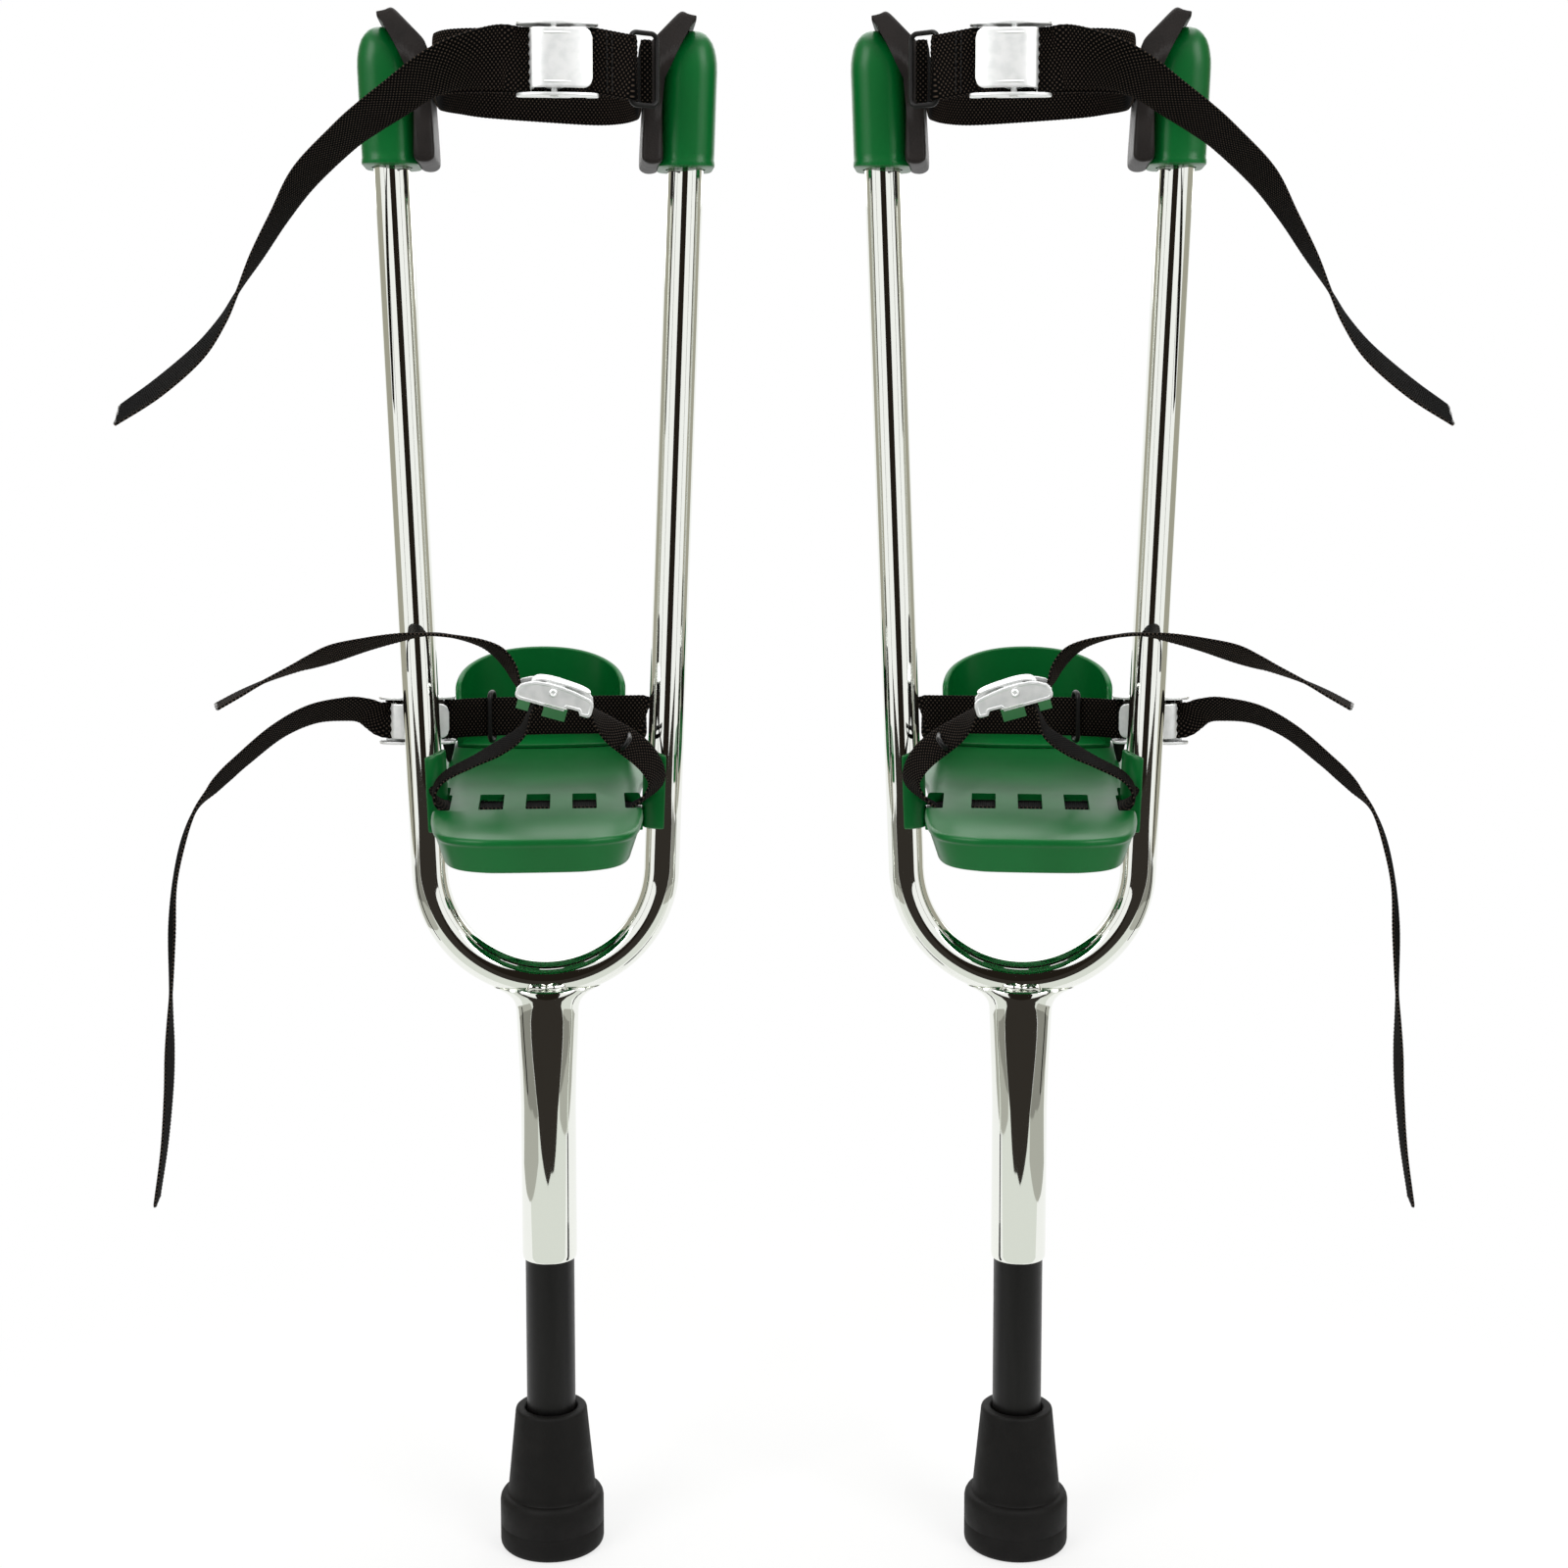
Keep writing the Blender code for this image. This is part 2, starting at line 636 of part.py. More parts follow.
def build_buckle(name, webbing, matrix):
    """The buckle's channel: two shaped flanges, a base plate, a strap bar and the riveted pin."""
    end = BUCKLE_LENGTH / 2
    tall = BUCKLE_HEIGHT
    inside = webbing / 2 + 0.0007
    outline = [
        (-end, 0.003), (-end + 0.0007, 0.0008), (-end + 0.0023, 0), (BASE_END, 0), (BASE_END + 0.001, 0.002),
        (0.0130, 0.002), (0.0140, 0), (end - 0.0015, 0), (end, 0.0016), (end, 0.0062), (end - 0.002, 0.0090),
        (0.008, tall - 0.0006), (-0.005, tall), (-0.013, tall - 0.0016), (-end + 0.0006, 0.0065),
    ]
    frame = side_plate(name, outline, inside, inside + BUCKLE_SHEET)
    pieces = [side_plate("buckle_flange", outline, -inside - BUCKLE_SHEET, -inside)]
    reach = inside + 0.0006
    pieces.append(box("buckle_base", (-end + 0.0032, -reach, 0.0001), (BASE_END - 0.0004, reach, BUCKLE_SHEET)))
    out = inside + BUCKLE_SHEET + 0.0008
    bar = inside + 0.0006
    low = BAR_DIA / 2 + 0.0004
    pieces.append(rod("buckle_bar", (BAR_ALONG, -bar, low), (BAR_ALONG, bar, low), BAR_DIA / 2, 8))
    pieces.append(rod("buckle_pin", (PIN_ALONG, -out, PIN_ABOVE), (PIN_ALONG, out, PIN_ABOVE), PIN_DIA / 2, 10))
    return moved(joined(frame, pieces, "UNION"), matrix)


def build_cam(name, webbing, matrix):
    """The toothed lever on the pin, drawn about the pin so that it turns on its own origin."""
    half = webbing / 2 + 0.0003
    outline = [
        (0.0178, 0.0032), (0.0178, 0.0046), (0.010, 0.0054), (-0.005, 0.0054), (-0.0095, 0.0042), (-0.0116, 0.0012),
        (-0.0114, -0.0037), (-0.0100, -0.0037), (-0.0070, -0.0008), (-0.0035, -0.0012), (-0.0022, -0.0032),
        (0.0012, -0.0034), (0.0034, -0.0010), (0.0045, 0.0030),
    ]
    cam = side_plate(name, outline, -half, half)
    bore = rod("cam_bore", (0, -half - 0.002, 0), (0, half + 0.002, 0), PIN_DIA / 2 + 0.0001)
    count = int((2 * half - 0.001) / TOOTH_PITCH)
    cuts = [bore]
    for i in range(count):
        y = (i - (count - 1) / 2) * TOOTH_PITCH
        edge = -0.0119
        cuts.append(rod("cam_notch", (edge, y, -0.006), (edge, y, 0.002), 0.0013, 4))
    cam = joined(cam, cuts, "DIFFERENCE")
    cam.matrix_world = matrix @ Matrix.Translation((PIN_ALONG, 0, PIN_ABOVE))
    return cam


def build_ring(name, one, two, tall):
    """A wire ring standing between two plan points, as the straps' bars need."""
    one, two = Vector(one), Vector(two)
    up = Vector(tall) / 2
    corner = 0.0022
    flat = (two - one).normalized() * corner
    rise = up.normalized() * corner
    points = [
        one + up - rise, one + up - 0.3 * rise + 0.3 * flat, one + up + flat,
        two + up - flat, two + up - 0.3 * rise - 0.3 * flat, two + up - rise,
        two - up + rise, two - up + 0.3 * rise - 0.3 * flat, two - up - flat,
        one - up + flat, one - up + 0.3 * rise + 0.3 * flat, one - up + rise,
    ]
    return pipe(name, points, RING_WIRE / 2, 1, cyclic=True)


def arc(centre, radius, start, end, steps):
    """Points in a plane round a centre, by degrees."""
    spots = []
    for i in range(steps + 1):
        a = math.radians(start + (end - start) * i / steps)
        spots.append((centre[0] + radius * math.cos(a), centre[1] + radius * math.sin(a)))
    return spots


def strap_in_buckle():
    """The webbing's centreline in a buckle: under the base, round its end and back under the teeth."""
    off = GAP + STRAP_THICKNESS / 2
    middle = BUCKLE_SHEET / 2
    wrap = arc((BASE_END, middle), middle + off, -90, 90, 6)
    return [(-0.004, -off), *wrap, (PIN_ALONG - 0.0105, BUCKLE_SHEET + off)]


RING_FRONT = Vector((0.0440, -0.0512))
RING_REAR = Vector((0.0525, -0.0368))


def knee_parts():
    matrix = buckle_matrix(KNEE_BUCKLE, Vector((1, 0, 0)), Vector((0, 0, 1)))
    frame = build_buckle("knee_buckle_frame", KNEE_WEBBING, matrix)
    cam = build_cam("knee_cam", KNEE_WEBBING, matrix)
    tall = Vector((0, 0, KNEE_WEBBING + 2 * RING_WIRE))
    ring = build_ring("knee_ring", (*RING_FRONT, KNEE_LEVEL), (*RING_REAR, KNEE_LEVEL), tall)
    off = GAP + STRAP_THICKNESS / 2
    turn = RING_WIRE / 2 + off
    hook = arc(RING_REAR, turn, -150, 60, 7)
    low = KNEE_LEVEL - KNEE_WEBBING / 2 - KNEE_SAG
    x = leg_x(low) - pad_face(low) - off
    rear = PAD_DEPTH / 2 + 0.029
    right = [(x, -PAD_DEPTH / 2 - 0.002), (x, 0.015), (x - 0.002, 0.030), (x - 0.009, 0.044), (x - 0.022, rear - 0.0035)]
    left = [(-x, 0.015), (-x, -0.022), (-x + 0.002, -0.034), (-x + 0.0075, -0.043), (-x + 0.017, -0.0478)]
    bend = [*right, (0, rear), *[(-a, b) for a, b in reversed(right[2:])], *left]
    buckle = [(KNEE_BUCKLE.x + u, KNEE_BUCKLE.y - w) for u, w in strap_in_buckle()]
    route = [*hook, *bend, (KNEE_BUCKLE.x - 0.026, buckle[0][1]), *buckle]
    sags = [0] * len(hook) + [0.2, 0.7, 0.9, 1, 0.9, 0.4, 0, -0.2, -0.1]
    sags += [0] * (len(route) - len(sags))
    up = Vector((0, 0, 1))
    points = [(a, b, KNEE_LEVEL - KNEE_SAG * sag) for (a, b), sag in zip(route, sags)]
    strap = ribbon("knee_strap", points, [up] * len(points), KNEE_WEBBING, STRAP_THICKNESS)
    bar = (KNEE_BUCKLE.x + BAR_ALONG, KNEE_BUCKLE.y - BAR_DIA / 2 - 0.0004)
    belt = arc(bar, BAR_DIA / 2 + off, 90, 270, 6) + arc(RING_FRONT, turn, -90, 90, 6)
    points = [(a, b, KNEE_LEVEL) for a, b in belt]
    short = ribbon("knee_short_strap", points, [up] * len(points), KNEE_WEBBING, STRAP_THICKNESS, cyclic=True)
    return [frame, ring, strap, short, cam]


def ankle_parts():
    matrix = buckle_matrix(ANKLE_BUCKLE, Vector((1, 0, 0)), Vector((0, 0, 1)))
    frame = build_buckle("ankle_buckle_frame", FOOT_WEBBING, matrix)
    cam = build_cam("ankle_cam", FOOT_WEBBING, matrix)
    off = GAP + STRAP_THICKNESS / 2
    bx, by = ANKLE_BUCKLE.x, ANKLE_BUCKLE.y
    bar = (bx + BAR_ALONG, by - BAR_DIA / 2 - 0.0004)
    hook = arc(bar, BAR_DIA / 2 + off, 40, 290, 8)
    side = PLATE_HALF_WIDTH - 0.0005
    heel = heel_line(HEEL_INSET - off - 0.0008, HEEL_FRONT - 0.02)
    heel = [(a + PLATE_SHIFT, b * math.cos(PLATE_TILT) + 0.0002) for a, b in heel]
    front = [(bx + 0.026, by + 0.0002), (-0.027, by + 0.003), (0, by + 0.006), (0.030, by + 0.0065)]
    fold = [(side - 0.006, by + 0.007), (side - 0.001, by + 0.010), (side, by + 0.016)]
    back = [(-side - 0.001, 0.070), (bx + 0.0118, by + 0.016), (bx + 0.0103, by + 0.006)]
    over = [(bx + 0.0090, by + 0.001), (bx + 0.0075, by - 0.0017), (bx + BASE_END - 0.001, by - BUCKLE_SHEET - off)]
    end = [(bx + PIN_ALONG - 0.0105, by - BUCKLE_SHEET - off)]
    points = [(a, b, ANKLE_LEVEL) for a, b in [*hook, *front, *fold, *heel, *back, *over, *end]]
    up = Vector((0, 0, 1))
    strap = ribbon("ankle_strap", points, [up] * len(points), FOOT_WEBBING, STRAP_THICKNESS)
    tall = Vector((0, 0, FOOT_WEBBING + 2 * RING_WIRE))
    y = by + 0.003
    ring = build_ring("ankle_ring", (-0.0284, y - 0.00275, ANKLE_LEVEL), (-0.0262, y + 0.0044, ANKLE_LEVEL), tall)
    return [frame, ring, strap, cam]


def toe_parts():
    dip = TOE_BUCKLE_DIP
    along = Vector((math.cos(dip), 0, -math.sin(dip)))
    across = Vector((0, 1, 0))
    matrix = buckle_matrix(TOE_BUCKLE, along, across)
    out = along.cross(across)
    frame = build_buckle("toe_buckle_frame", FOOT_WEBBING, matrix)
    cam = build_cam("toe_cam", FOOT_WEBBING, matrix)
    off = GAP + STRAP_THICKNESS / 2

    def at(u, w):
        spot = TOE_BUCKLE + u * along + w * out
        return (spot.x, spot.z)

    bar = at(BAR_ALONG, BAR_DIA / 2 + 0.0004)
    hook = arc(bar, BAR_DIA / 2 + off, 230, 20, 8)
    under = TOE_STRAP_Y * math.tan(PLATE_TILT) - PLATE_THICKNESS - 0.0012 - off
    edge = PLATE_HALF_WIDTH - NOTCH_DEPTH
    right = [(0.0268, 0.0405), (0.0330, 0.0345), (0.0400, 0.0295), (0.0475, 0.0235), (0.0528, 0.0170)]
    right += [(0.0560, 0.0095), (0.0545, 0.0030), (0.0505, under + 0.0025), (edge + 0.002, under)]
    below = [(0.0390, under), (0.0340, under), (0.0280, under), (-0.0280, under), (-0.0340, under), (-0.0390, under)]
    left = [(-edge - 0.002, under), (-0.0500, under + 0.002), (-0.0540, 0.0015), (-0.0535, 0.0075), (-0.0480, 0.0135)]
    left += [(-0.0350, 0.0200), (-0.0220, 0.0267), (-0.0110, 0.0345)]
    round_foot = [(x, PLATE_TOP + above) for x, above in [*right, *below, *left]]
    route = [*hook, *round_foot, at(-0.009, -0.0042), *[at(u, w) for u, w in strap_in_buckle()]]
    sways = [0] * (len(hook) + len(right)) + [0.3, 0.75, 1, 1, 0.75, 0.3]
    sways += [0] * (len(route) - len(sways))
    points = [(a, TOE_STRAP_Y + TOE_SWAY * sway, b) for (a, b), sway in zip(route, sways)]
    strap = ribbon("toe_strap", points, [across] * len(points), FOOT_WEBBING, STRAP_THICKNESS)
    tall = Vector((0, FOOT_WEBBING + 2 * RING_WIRE, 0))
    low, high = (0.0382, TOE_STRAP_Y, PLATE_TOP + 0.0271), (0.0418, TOE_STRAP_Y, PLATE_TOP + 0.0319)
    ring = build_ring("toe_ring", low, high, tall)
    return [frame, ring, strap, cam]


# Free tails: points along each centreline in mm, with the turn of the webbing about its own line
KNEE_TAIL = [
    (-3.0, -52.6, 750.0, 0), (-7.2, -52.6, 750.1, 0), (-11.4, -52.8, 750.5, 5), (-17.0, -54.6, 750.9, 15),
    (-29.2, -59.4, 748.8, 33), (-41.5, -60.0, 745.3, 44), (-53.7, -58.0, 739.3, 50), (-66.1, -55.5, 730.9, 53),
    (-78.5, -53.0, 722.6, 57), (-90.9, -50.8, 713.1, 61), (-109.2, -48.0, 691.5, 69), (-120.6, -47.0, 672.0, 77),
    (-130.4, -46.0, 652.0, 83), (-138.5, -46.0, 638.7, 87), (-155.5, -47.0, 615.7, 90), (-170.0, -49.0, 601.8, 85),
    (-197.0, -52.0, 584.6, 75),
]
ANKLE_TAIL = [
    (-77.4, 22.4, 429.0, 0), (-82.0, 22.4, 429.0, 0), (-86.6, 22.4, 429.0, 0), (-99.0, 21.5, 433.0, 5),
    (-118.8, 18.0, 431.0, 20), (-137.0, 14.0, 421.8, 38), (-155.4, 10.0, 407.7, 55), (-170.3, 6.0, 391.7, 67),
    (-180.8, 3.0, 367.6, 77), (-186.1, 2.0, 337.5, 82), (-187.5, 1.0, 309.2, 84), (-188.1, 0.0, 289.8, 84),
    (-190.1, 0.0, 261.0, 82), (-191.7, 0.0, 232.2, 80), (-195.6, 0.0, 207.0, 78), (-198.8, 0.0, 188.4, 76),
]
TOE_TAIL = [
    (-7.5, -23.5, 446.9, 90), (-10.9, -23.5, 448.8, 90), (-13.4, -23.5, 453.2, 90), (-16.5, -23.5, 460.5, 88),
    (-22.0, -23.5, 467.5, 85), (-31.0, -23.5, 472.4, 81), (-45.0, -23.5, 475.6, 77), (-62.0, -24.0, 476.3, 73),
    (-80.0, -26.0, 472.8, 68), (-101.0, -28.0, 468.5, 62), (-113.5, -30.0, 462.6, 58), (-129.0, -32.0, 455.4, 55),
    (-155.0, -35.0, 444.2, 52),
]
TAIL_STEPS = 2


def build_tail(name, route, width):
    """A free end of webbing, turned about its own line as it runs."""
    line = smooth([Vector(p[:3]) * MM for p in route], TAIL_STEPS)
    turns = [t.x for t in smooth([(math.radians(p[3]), 0, 0) for p in route], TAIL_STEPS)]
    across = []
    for i, turn in enumerate(turns):
        run = (line[min(i + 1, len(line) - 1)] - line[max(i - 1, 0)]).normalized()
        flat = Vector((0, 1, 0))
        flat = (flat - run * flat.dot(run)).normalized()
        across.append(math.cos(turn) * run.cross(flat) + math.sin(turn) * flat)
    return ribbon(name, line, across, width, TAIL_THICKNESS)


def build_stilt():
    """All the pieces of one stilt about its own axis, with their materials."""
    kinds = {
        "chrome": [build_frame(), build_stem()],
        "black tube": [build_peg()],
        "black rubber": [build_ferrule()],
        "green plastic": [build_plate(), build_heel()],
        "black foam": [],
        "zinc": [],
        "black wire": [],
        "black webbing": [],
    }
    for place, side in (("outer", -1), ("inner", 1)):
        kinds["green plastic"] += [build_bracket(f"{place}_bracket", side), build_cap(f"{place}_cap", side)]
        kinds["chrome"].append(build_bolt(f"{place}_plate_bolt", side))
        kinds["black foam"].append(build_pad(f"{place}_pad", side))
    knee = knee_parts()
    kinds["zinc"] += [knee[0], knee[4]]
    kinds["black wire"].append(knee[1])
    kinds["black webbing"] += [knee[2], knee[3]]
    for group in (ankle_parts(), toe_parts()):
        kinds["zinc"] += [group[0], group[3]]
        kinds["black wire"].append(group[1])
        kinds["black webbing"].append(group[2])
    kinds["black webbing"].append(build_tail("knee_tail", KNEE_TAIL, KNEE_WEBBING))
    kinds["black webbing"].append(build_tail("ankle_tail", ANKLE_TAIL, FOOT_WEBBING))
    kinds["black webbing"].append(build_tail("toe_tail", TOE_TAIL, FOOT_WEBBING))
    pieces = []
    for kind, made in kinds.items():
        for piece in made:
            pieces.append(piece)
            piece.data.materials.clear()
            piece.data.materials.append(material(piece.name, kind))
    return pieces


def mirrored(piece, name):
    """A mirror image of a piece across the stilt's own middle plane."""
    flip = Matrix.Scale(-1, 4, (1, 0, 0))
    mesh = piece.data.copy()
    mesh.transform(flip)
    mesh.flip_normals()
    made = new_object(name, mesh, PARTS)
    made.matrix_world = flip @ piece.matrix_world @ flip
    return made


def stand(name, pieces, x, turn):
    """Stands one stilt's pieces under an empty at its place in the pair."""
    holder = new_object(name, None, PARTS)
    holder.location = (x, PAIR_SHIFT_Y, 0)
    holder.rotation_euler = (0, 0, turn)
    for piece in pieces:
        piece.parent = holder


def build_pair():
    left = build_stilt()
    right = [mirrored(piece, f"right_{piece.name}") for piece in left]
    for piece in left:
        piece.name = f"left_{piece.name}"
    stand("left_stilt", left, -STILT_SPACING / 2, TOE_IN)
    stand("right_stilt", right, STILT_SPACING / 2, -TOE_IN)
    bpy.context.view_layer.update()


build_pair()
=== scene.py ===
"""Dresses the peg stilts: woven straps, chromed frames, moulded green plates and plated cam buckles."""

import math

import bmesh
import bpy
from mathutils import Matrix, Vector


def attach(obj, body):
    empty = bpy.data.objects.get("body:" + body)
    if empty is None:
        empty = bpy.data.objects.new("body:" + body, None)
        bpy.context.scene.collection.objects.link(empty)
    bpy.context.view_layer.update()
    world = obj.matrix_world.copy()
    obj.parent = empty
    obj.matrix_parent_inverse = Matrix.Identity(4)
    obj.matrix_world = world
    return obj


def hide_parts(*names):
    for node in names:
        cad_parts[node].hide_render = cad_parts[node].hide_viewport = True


bl_info = {
    "name": "Peg stilts",
    "version": (1, 0, 0),
    "blender": (4, 5, 0),
    "location": "View3D > Sidebar > Peg stilts",
    "description": "Builds the finished pieces of a pair of peg stilts over their solids",
    "category": "Object",
}

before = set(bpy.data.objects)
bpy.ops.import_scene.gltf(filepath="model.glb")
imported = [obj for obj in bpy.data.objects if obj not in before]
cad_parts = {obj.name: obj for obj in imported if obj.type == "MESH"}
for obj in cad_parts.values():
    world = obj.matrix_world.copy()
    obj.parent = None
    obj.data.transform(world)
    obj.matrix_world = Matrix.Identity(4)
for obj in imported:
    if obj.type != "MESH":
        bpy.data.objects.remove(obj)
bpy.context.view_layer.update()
MM = 0.001
SIDES = ("left", "right")
SHARP_ANGLE = 35


def length(name, default, description):
    """A size in metres that the sidebar shows."""
    return bpy.props.FloatProperty(
        name=name, description=description, default=default, unit="LENGTH", precision=5
    )


def angle(name, default, description):
    """An angle that the sidebar shows in degrees."""
    return bpy.props.FloatProperty(
        name=name, description=description, default=math.radians(default), subtype="ANGLE"
    )


def linear(code):
    """An sRGB hex colour as linear red, green, blue and alpha."""
    parts = [int(code[i : i + 2], 16) / 255 for i in (1, 3, 5)]
    return [*((c / 12.92 if c <= 0.04045 else ((c + 0.055) / 1.055) ** 2.4) for c in parts), 1.0]


def colour(name, code, description):
    """A colour that the sidebar shows."""
    return bpy.props.FloatVectorProperty(
        name=name, description=description, default=linear(code), subtype="COLOR", size=4, min=0, max=1
    )


class StiltSizes(bpy.types.PropertyGroup):
    """Stance, tubes and moulded pieces."""

    spacing: length("Spacing", 0.241, "Distance between the two stilts' axes")
    toe_in: angle("Toe in", 5, "How far each stilt is turned towards the middle")
    shift: length("Shift", -0.0274, "How far the stilts' axes stand in front of the pair's middle")
    peg: length("Peg diameter", 0.025, "Outside diameter of the black peg tube")
    stem: length("Stem diameter", 0.028, "Outside diameter of the chromed stem")
    tube: length("Frame diameter", 0.018, "Outside diameter of the chromed U tube")
    bend: length("Bend radius", 0.0585, "Radius of the U bend at the tube's centre")
    slope: bpy.props.FloatProperty(name="Leg slope", description="Outward lean of the legs", default=0.0384)
    frame_low: length("Frame height", 0.298, "Height of the U bend's centreline at its lowest")
    stem_foot: length("Stem foot", 0.1526, "Height of the stem's rolled lower end")
    ferrule: length("Ferrule height", 0.0730, "Height of the rubber ferrule")
    ferrule_base: length("Ferrule diameter", 0.0534, "Diameter of the ferrule's base")
    plate_top: length("Plate height", 0.3935, "Height of the foot plate's top at the frame")
    plate_tilt: angle("Plate tilt", 4, "How far the toe end of the plate is tipped down")
    plate_shift: length("Plate shift", -0.0035, "How far the plate sits outward of the stilt's axis")
    plate_half: length("Plate half width", 0.0515, "Half the width of the foot plate")
    plate_front: length("Plate front", 0.0945, "Reach of the plate in front of the frame")
    plate_rear: length("Plate rear", 0.150, "Reach of the plate behind the frame")
    plate_deep: length("Skirt", 0.0175, "Depth of the plate's skirt")
    draft: length("Skirt draft", 0.005, "How far the skirt's lower edge is drawn in")
    heel: length("Heel height", 0.050, "Height of the heel cup at its middle")
    bolt: length("Bolt height", 0.3803, "Height of the bolts that hold the plate")
    cap_foot: length("Cap foot", 0.7045, "Height of the caps' lower edge")
    cap_tall: length("Cap height", 0.0660, "Height of the green caps")
    cap_half: length("Cap half width", 0.0135, "Half the width of a cap")
    cap_deep: length("Cap half depth", 0.0223, "Half the depth of a cap")
    pad: length("Pad thickness", 0.0092, "Thickness of the foam pads")
    pad_deep: length("Pad depth", 0.056, "Depth of the foam pads")


class StrapSizes(bpy.types.PropertyGroup):
    """Webbing, buckles and rings."""

    knee: length("Knee webbing", 0.030, "Width of the knee webbing")
    foot: length("Foot webbing", 0.020, "Width of the ankle and toe webbing")
    thick: length("Webbing thickness", 0.0015, "Thickness of the webbing between its ribs")
    pick: length("Rib spacing", 0.0020, "Spacing of the weave's ribs along the webbing")
    yarn: length("Yarn spacing", 0.0026, "Spacing of the weave's yarns across the webbing")
    relief: length("Weave relief", 0.00020, "How far the yarns stand out of the webbing")
    buckle: length("Buckle length", 0.0386, "Length of a buckle's flanges")
    sheet: length("Buckle sheet", 0.0015, "Thickness of the buckles' plated steel")
    tooth: length("Tooth spacing", 0.0042, "Spacing of the teeth on a cam")
    wire: length("Ring wire", 0.0025, "Diameter of the rings' wire")
    stitch: length("Stitch", 0.0024, "Length of one stitch")


class StiltColours(bpy.types.PropertyGroup):
    """Colours of the finishes."""

    green: colour("Green", "#005D26", "Moulded green plastic")
    green_deep: colour("Deep green", "#005722", "The plastic's darker flow marks")
    chrome: colour("Chrome", "#EEF0EA", "Chromium plate")
    zinc: colour("Zinc", "#FAFBFA", "Bright zinc plate")
    zinc_dull: colour("Dull zinc", "#F2F4F3", "Zinc where it has been handled")
    rubber: colour("Rubber", "#090807", "Black rubber")
    paint: colour("Paint", "#060505", "Black paint on the peg and rings")
    foam: colour("Foam", "#15100E", "Black foam with a brown cast")
    # The yarn colour is a painted highlight on the tops of the weave's crossings; the yarn shade is the
    # black yarn itself and the painted shade between the crossings.
    yarn_highlight: colour("Yarn", "#453B33", "Black polypropylene yarn where it stands out")
    yarn_black_and_shade: colour("Yarn shade", "#020202", "Black polypropylene yarn between the ribs")
    sealed: colour("Sealed end", "#3B3A38", "Melted ends of the webbing")
    floor: colour("Floor", "#F4F4F2", "Pale floor and backdrop")


def settings():
    """The three groups of sizes and colours."""
    scene = bpy.context.scene
    return scene.stilt_sizes, scene.stilt_straps, scene.stilt_colours


# Materials


def node(tree, kind, inputs=None, **options):
    """Adds a node with its settings, its values and its links."""
    made = tree.nodes.new(kind)
    for name, value in options.items():
        setattr(made, name, value)
    for name, value in (inputs or {}).items():
        if isinstance(value, bpy.types.NodeSocket):
            tree.links.new(value, made.inputs[name])
        else:
            made.inputs[name].default_value = value
    return made


def finish(name, **values):
    """A material with a bare Principled shader, or the one of that name made before."""
    made = bpy.data.materials.get(name)
    if made:
        return made, None, None
    made = bpy.data.materials.new(name)
    made.use_nodes = True
    tree = made.node_tree
    shader = tree.nodes["Principled BSDF"]
    for socket, value in values.items():
        shader.inputs[socket.replace("_", " ")].default_value = value
    return made, tree, shader


def scaled(tone, factor):
    """A colour made lighter or darker."""
    return [min(1, c * factor) for c in tone[:3]] + [1.0]


def tinted(tree, shader, factor, low, high, dark, light):
    """Colour that runs between two tones."""
    ramp = node(tree, "ShaderNodeValToRGB", {"Fac": factor})
    ramp.color_ramp.elements[0].position = low
    ramp.color_ramp.elements[0].color = dark
    ramp.color_ramp.elements[1].position = high
    ramp.color_ramp.elements[1].color = light
    tree.links.new(ramp.outputs["Color"], shader.inputs["Base Color"])


def grain(tree, size, detail=3.0, stretch=(1, 1, 1)):
    """Noise whose patches are about one size in metres across."""
    place = node(tree, "ShaderNodeTexCoord").outputs["Object"]
    place = node(tree, "ShaderNodeMapping", {"Vector": place, "Scale": stretch}).outputs["Vector"]
    made = node(tree, "ShaderNodeTexNoise", {"Vector": place, "Scale": 1 / size, "Detail": detail})
    return made.outputs["Fac"]


def roughened(tree, shader, factor, low, high):
    """Roughness that runs between two values."""
    made = node(tree, "ShaderNodeMapRange", {"Value": factor, "To Min": low, "To Max": high})
    tree.links.new(made.outputs["Result"], shader.inputs["Roughness"])


def bumped(tree, shader, height, depth):
    """Relief of a depth in metres."""
    made = node(tree, "ShaderNodeBump", {"Height": height, "Distance": depth, "Strength": 1.0})
    tree.links.new(made.outputs["Normal"], shader.inputs["Normal"])


def moulded_polypropylene():
    """Satin moulded polypropylene: even emerald, with soft 30 mm flow marks and a 5 mm skin ripple."""
    colours = settings()[2]
    made, tree, shader = finish("moulded_polypropylene", IOR=1.49, Specular_IOR_Level=0.26)
    if tree:
        flow = grain(tree, 30 * MM, 2.0, (1, 1, 0.35))
        tinted(tree, shader, flow, 0.3, 0.72, colours.green_deep, colours.green)
        roughened(tree, shader, grain(tree, 14 * MM, 1.0), 0.29, 0.35)
        bumped(tree, shader, grain(tree, 5 * MM, 1.0), 0.000004)
    return made


def chromium_plate():
    """Bright chromium on drawn tube: a mirror with faint draw lines along the tube and a little haze."""
    colours = settings()[2]
    made, tree, shader = finish("chromium_plate", Metallic=1.0)
    if tree:
        shader.inputs["Base Color"].default_value = colours.chrome
        haze = grain(tree, 6 * MM, 4.0, (1, 1, 0.06))
        roughened(tree, shader, haze, 0.02, 0.05)
    return made


def zinc_plate():
    """Bright zinc on pressed steel: a satin mirror with a 4 mm spangle and duller, handled patches."""
    colours = settings()[2]
    made, tree, shader = finish("zinc_plate", Metallic=0.75)
    if tree:
        tinted(tree, shader, grain(tree, 4 * MM), 0.35, 0.6, colours.zinc_dull, colours.zinc)
        roughened(tree, shader, grain(tree, 4 * MM, 1.0), 0.40, 0.48)
    return made


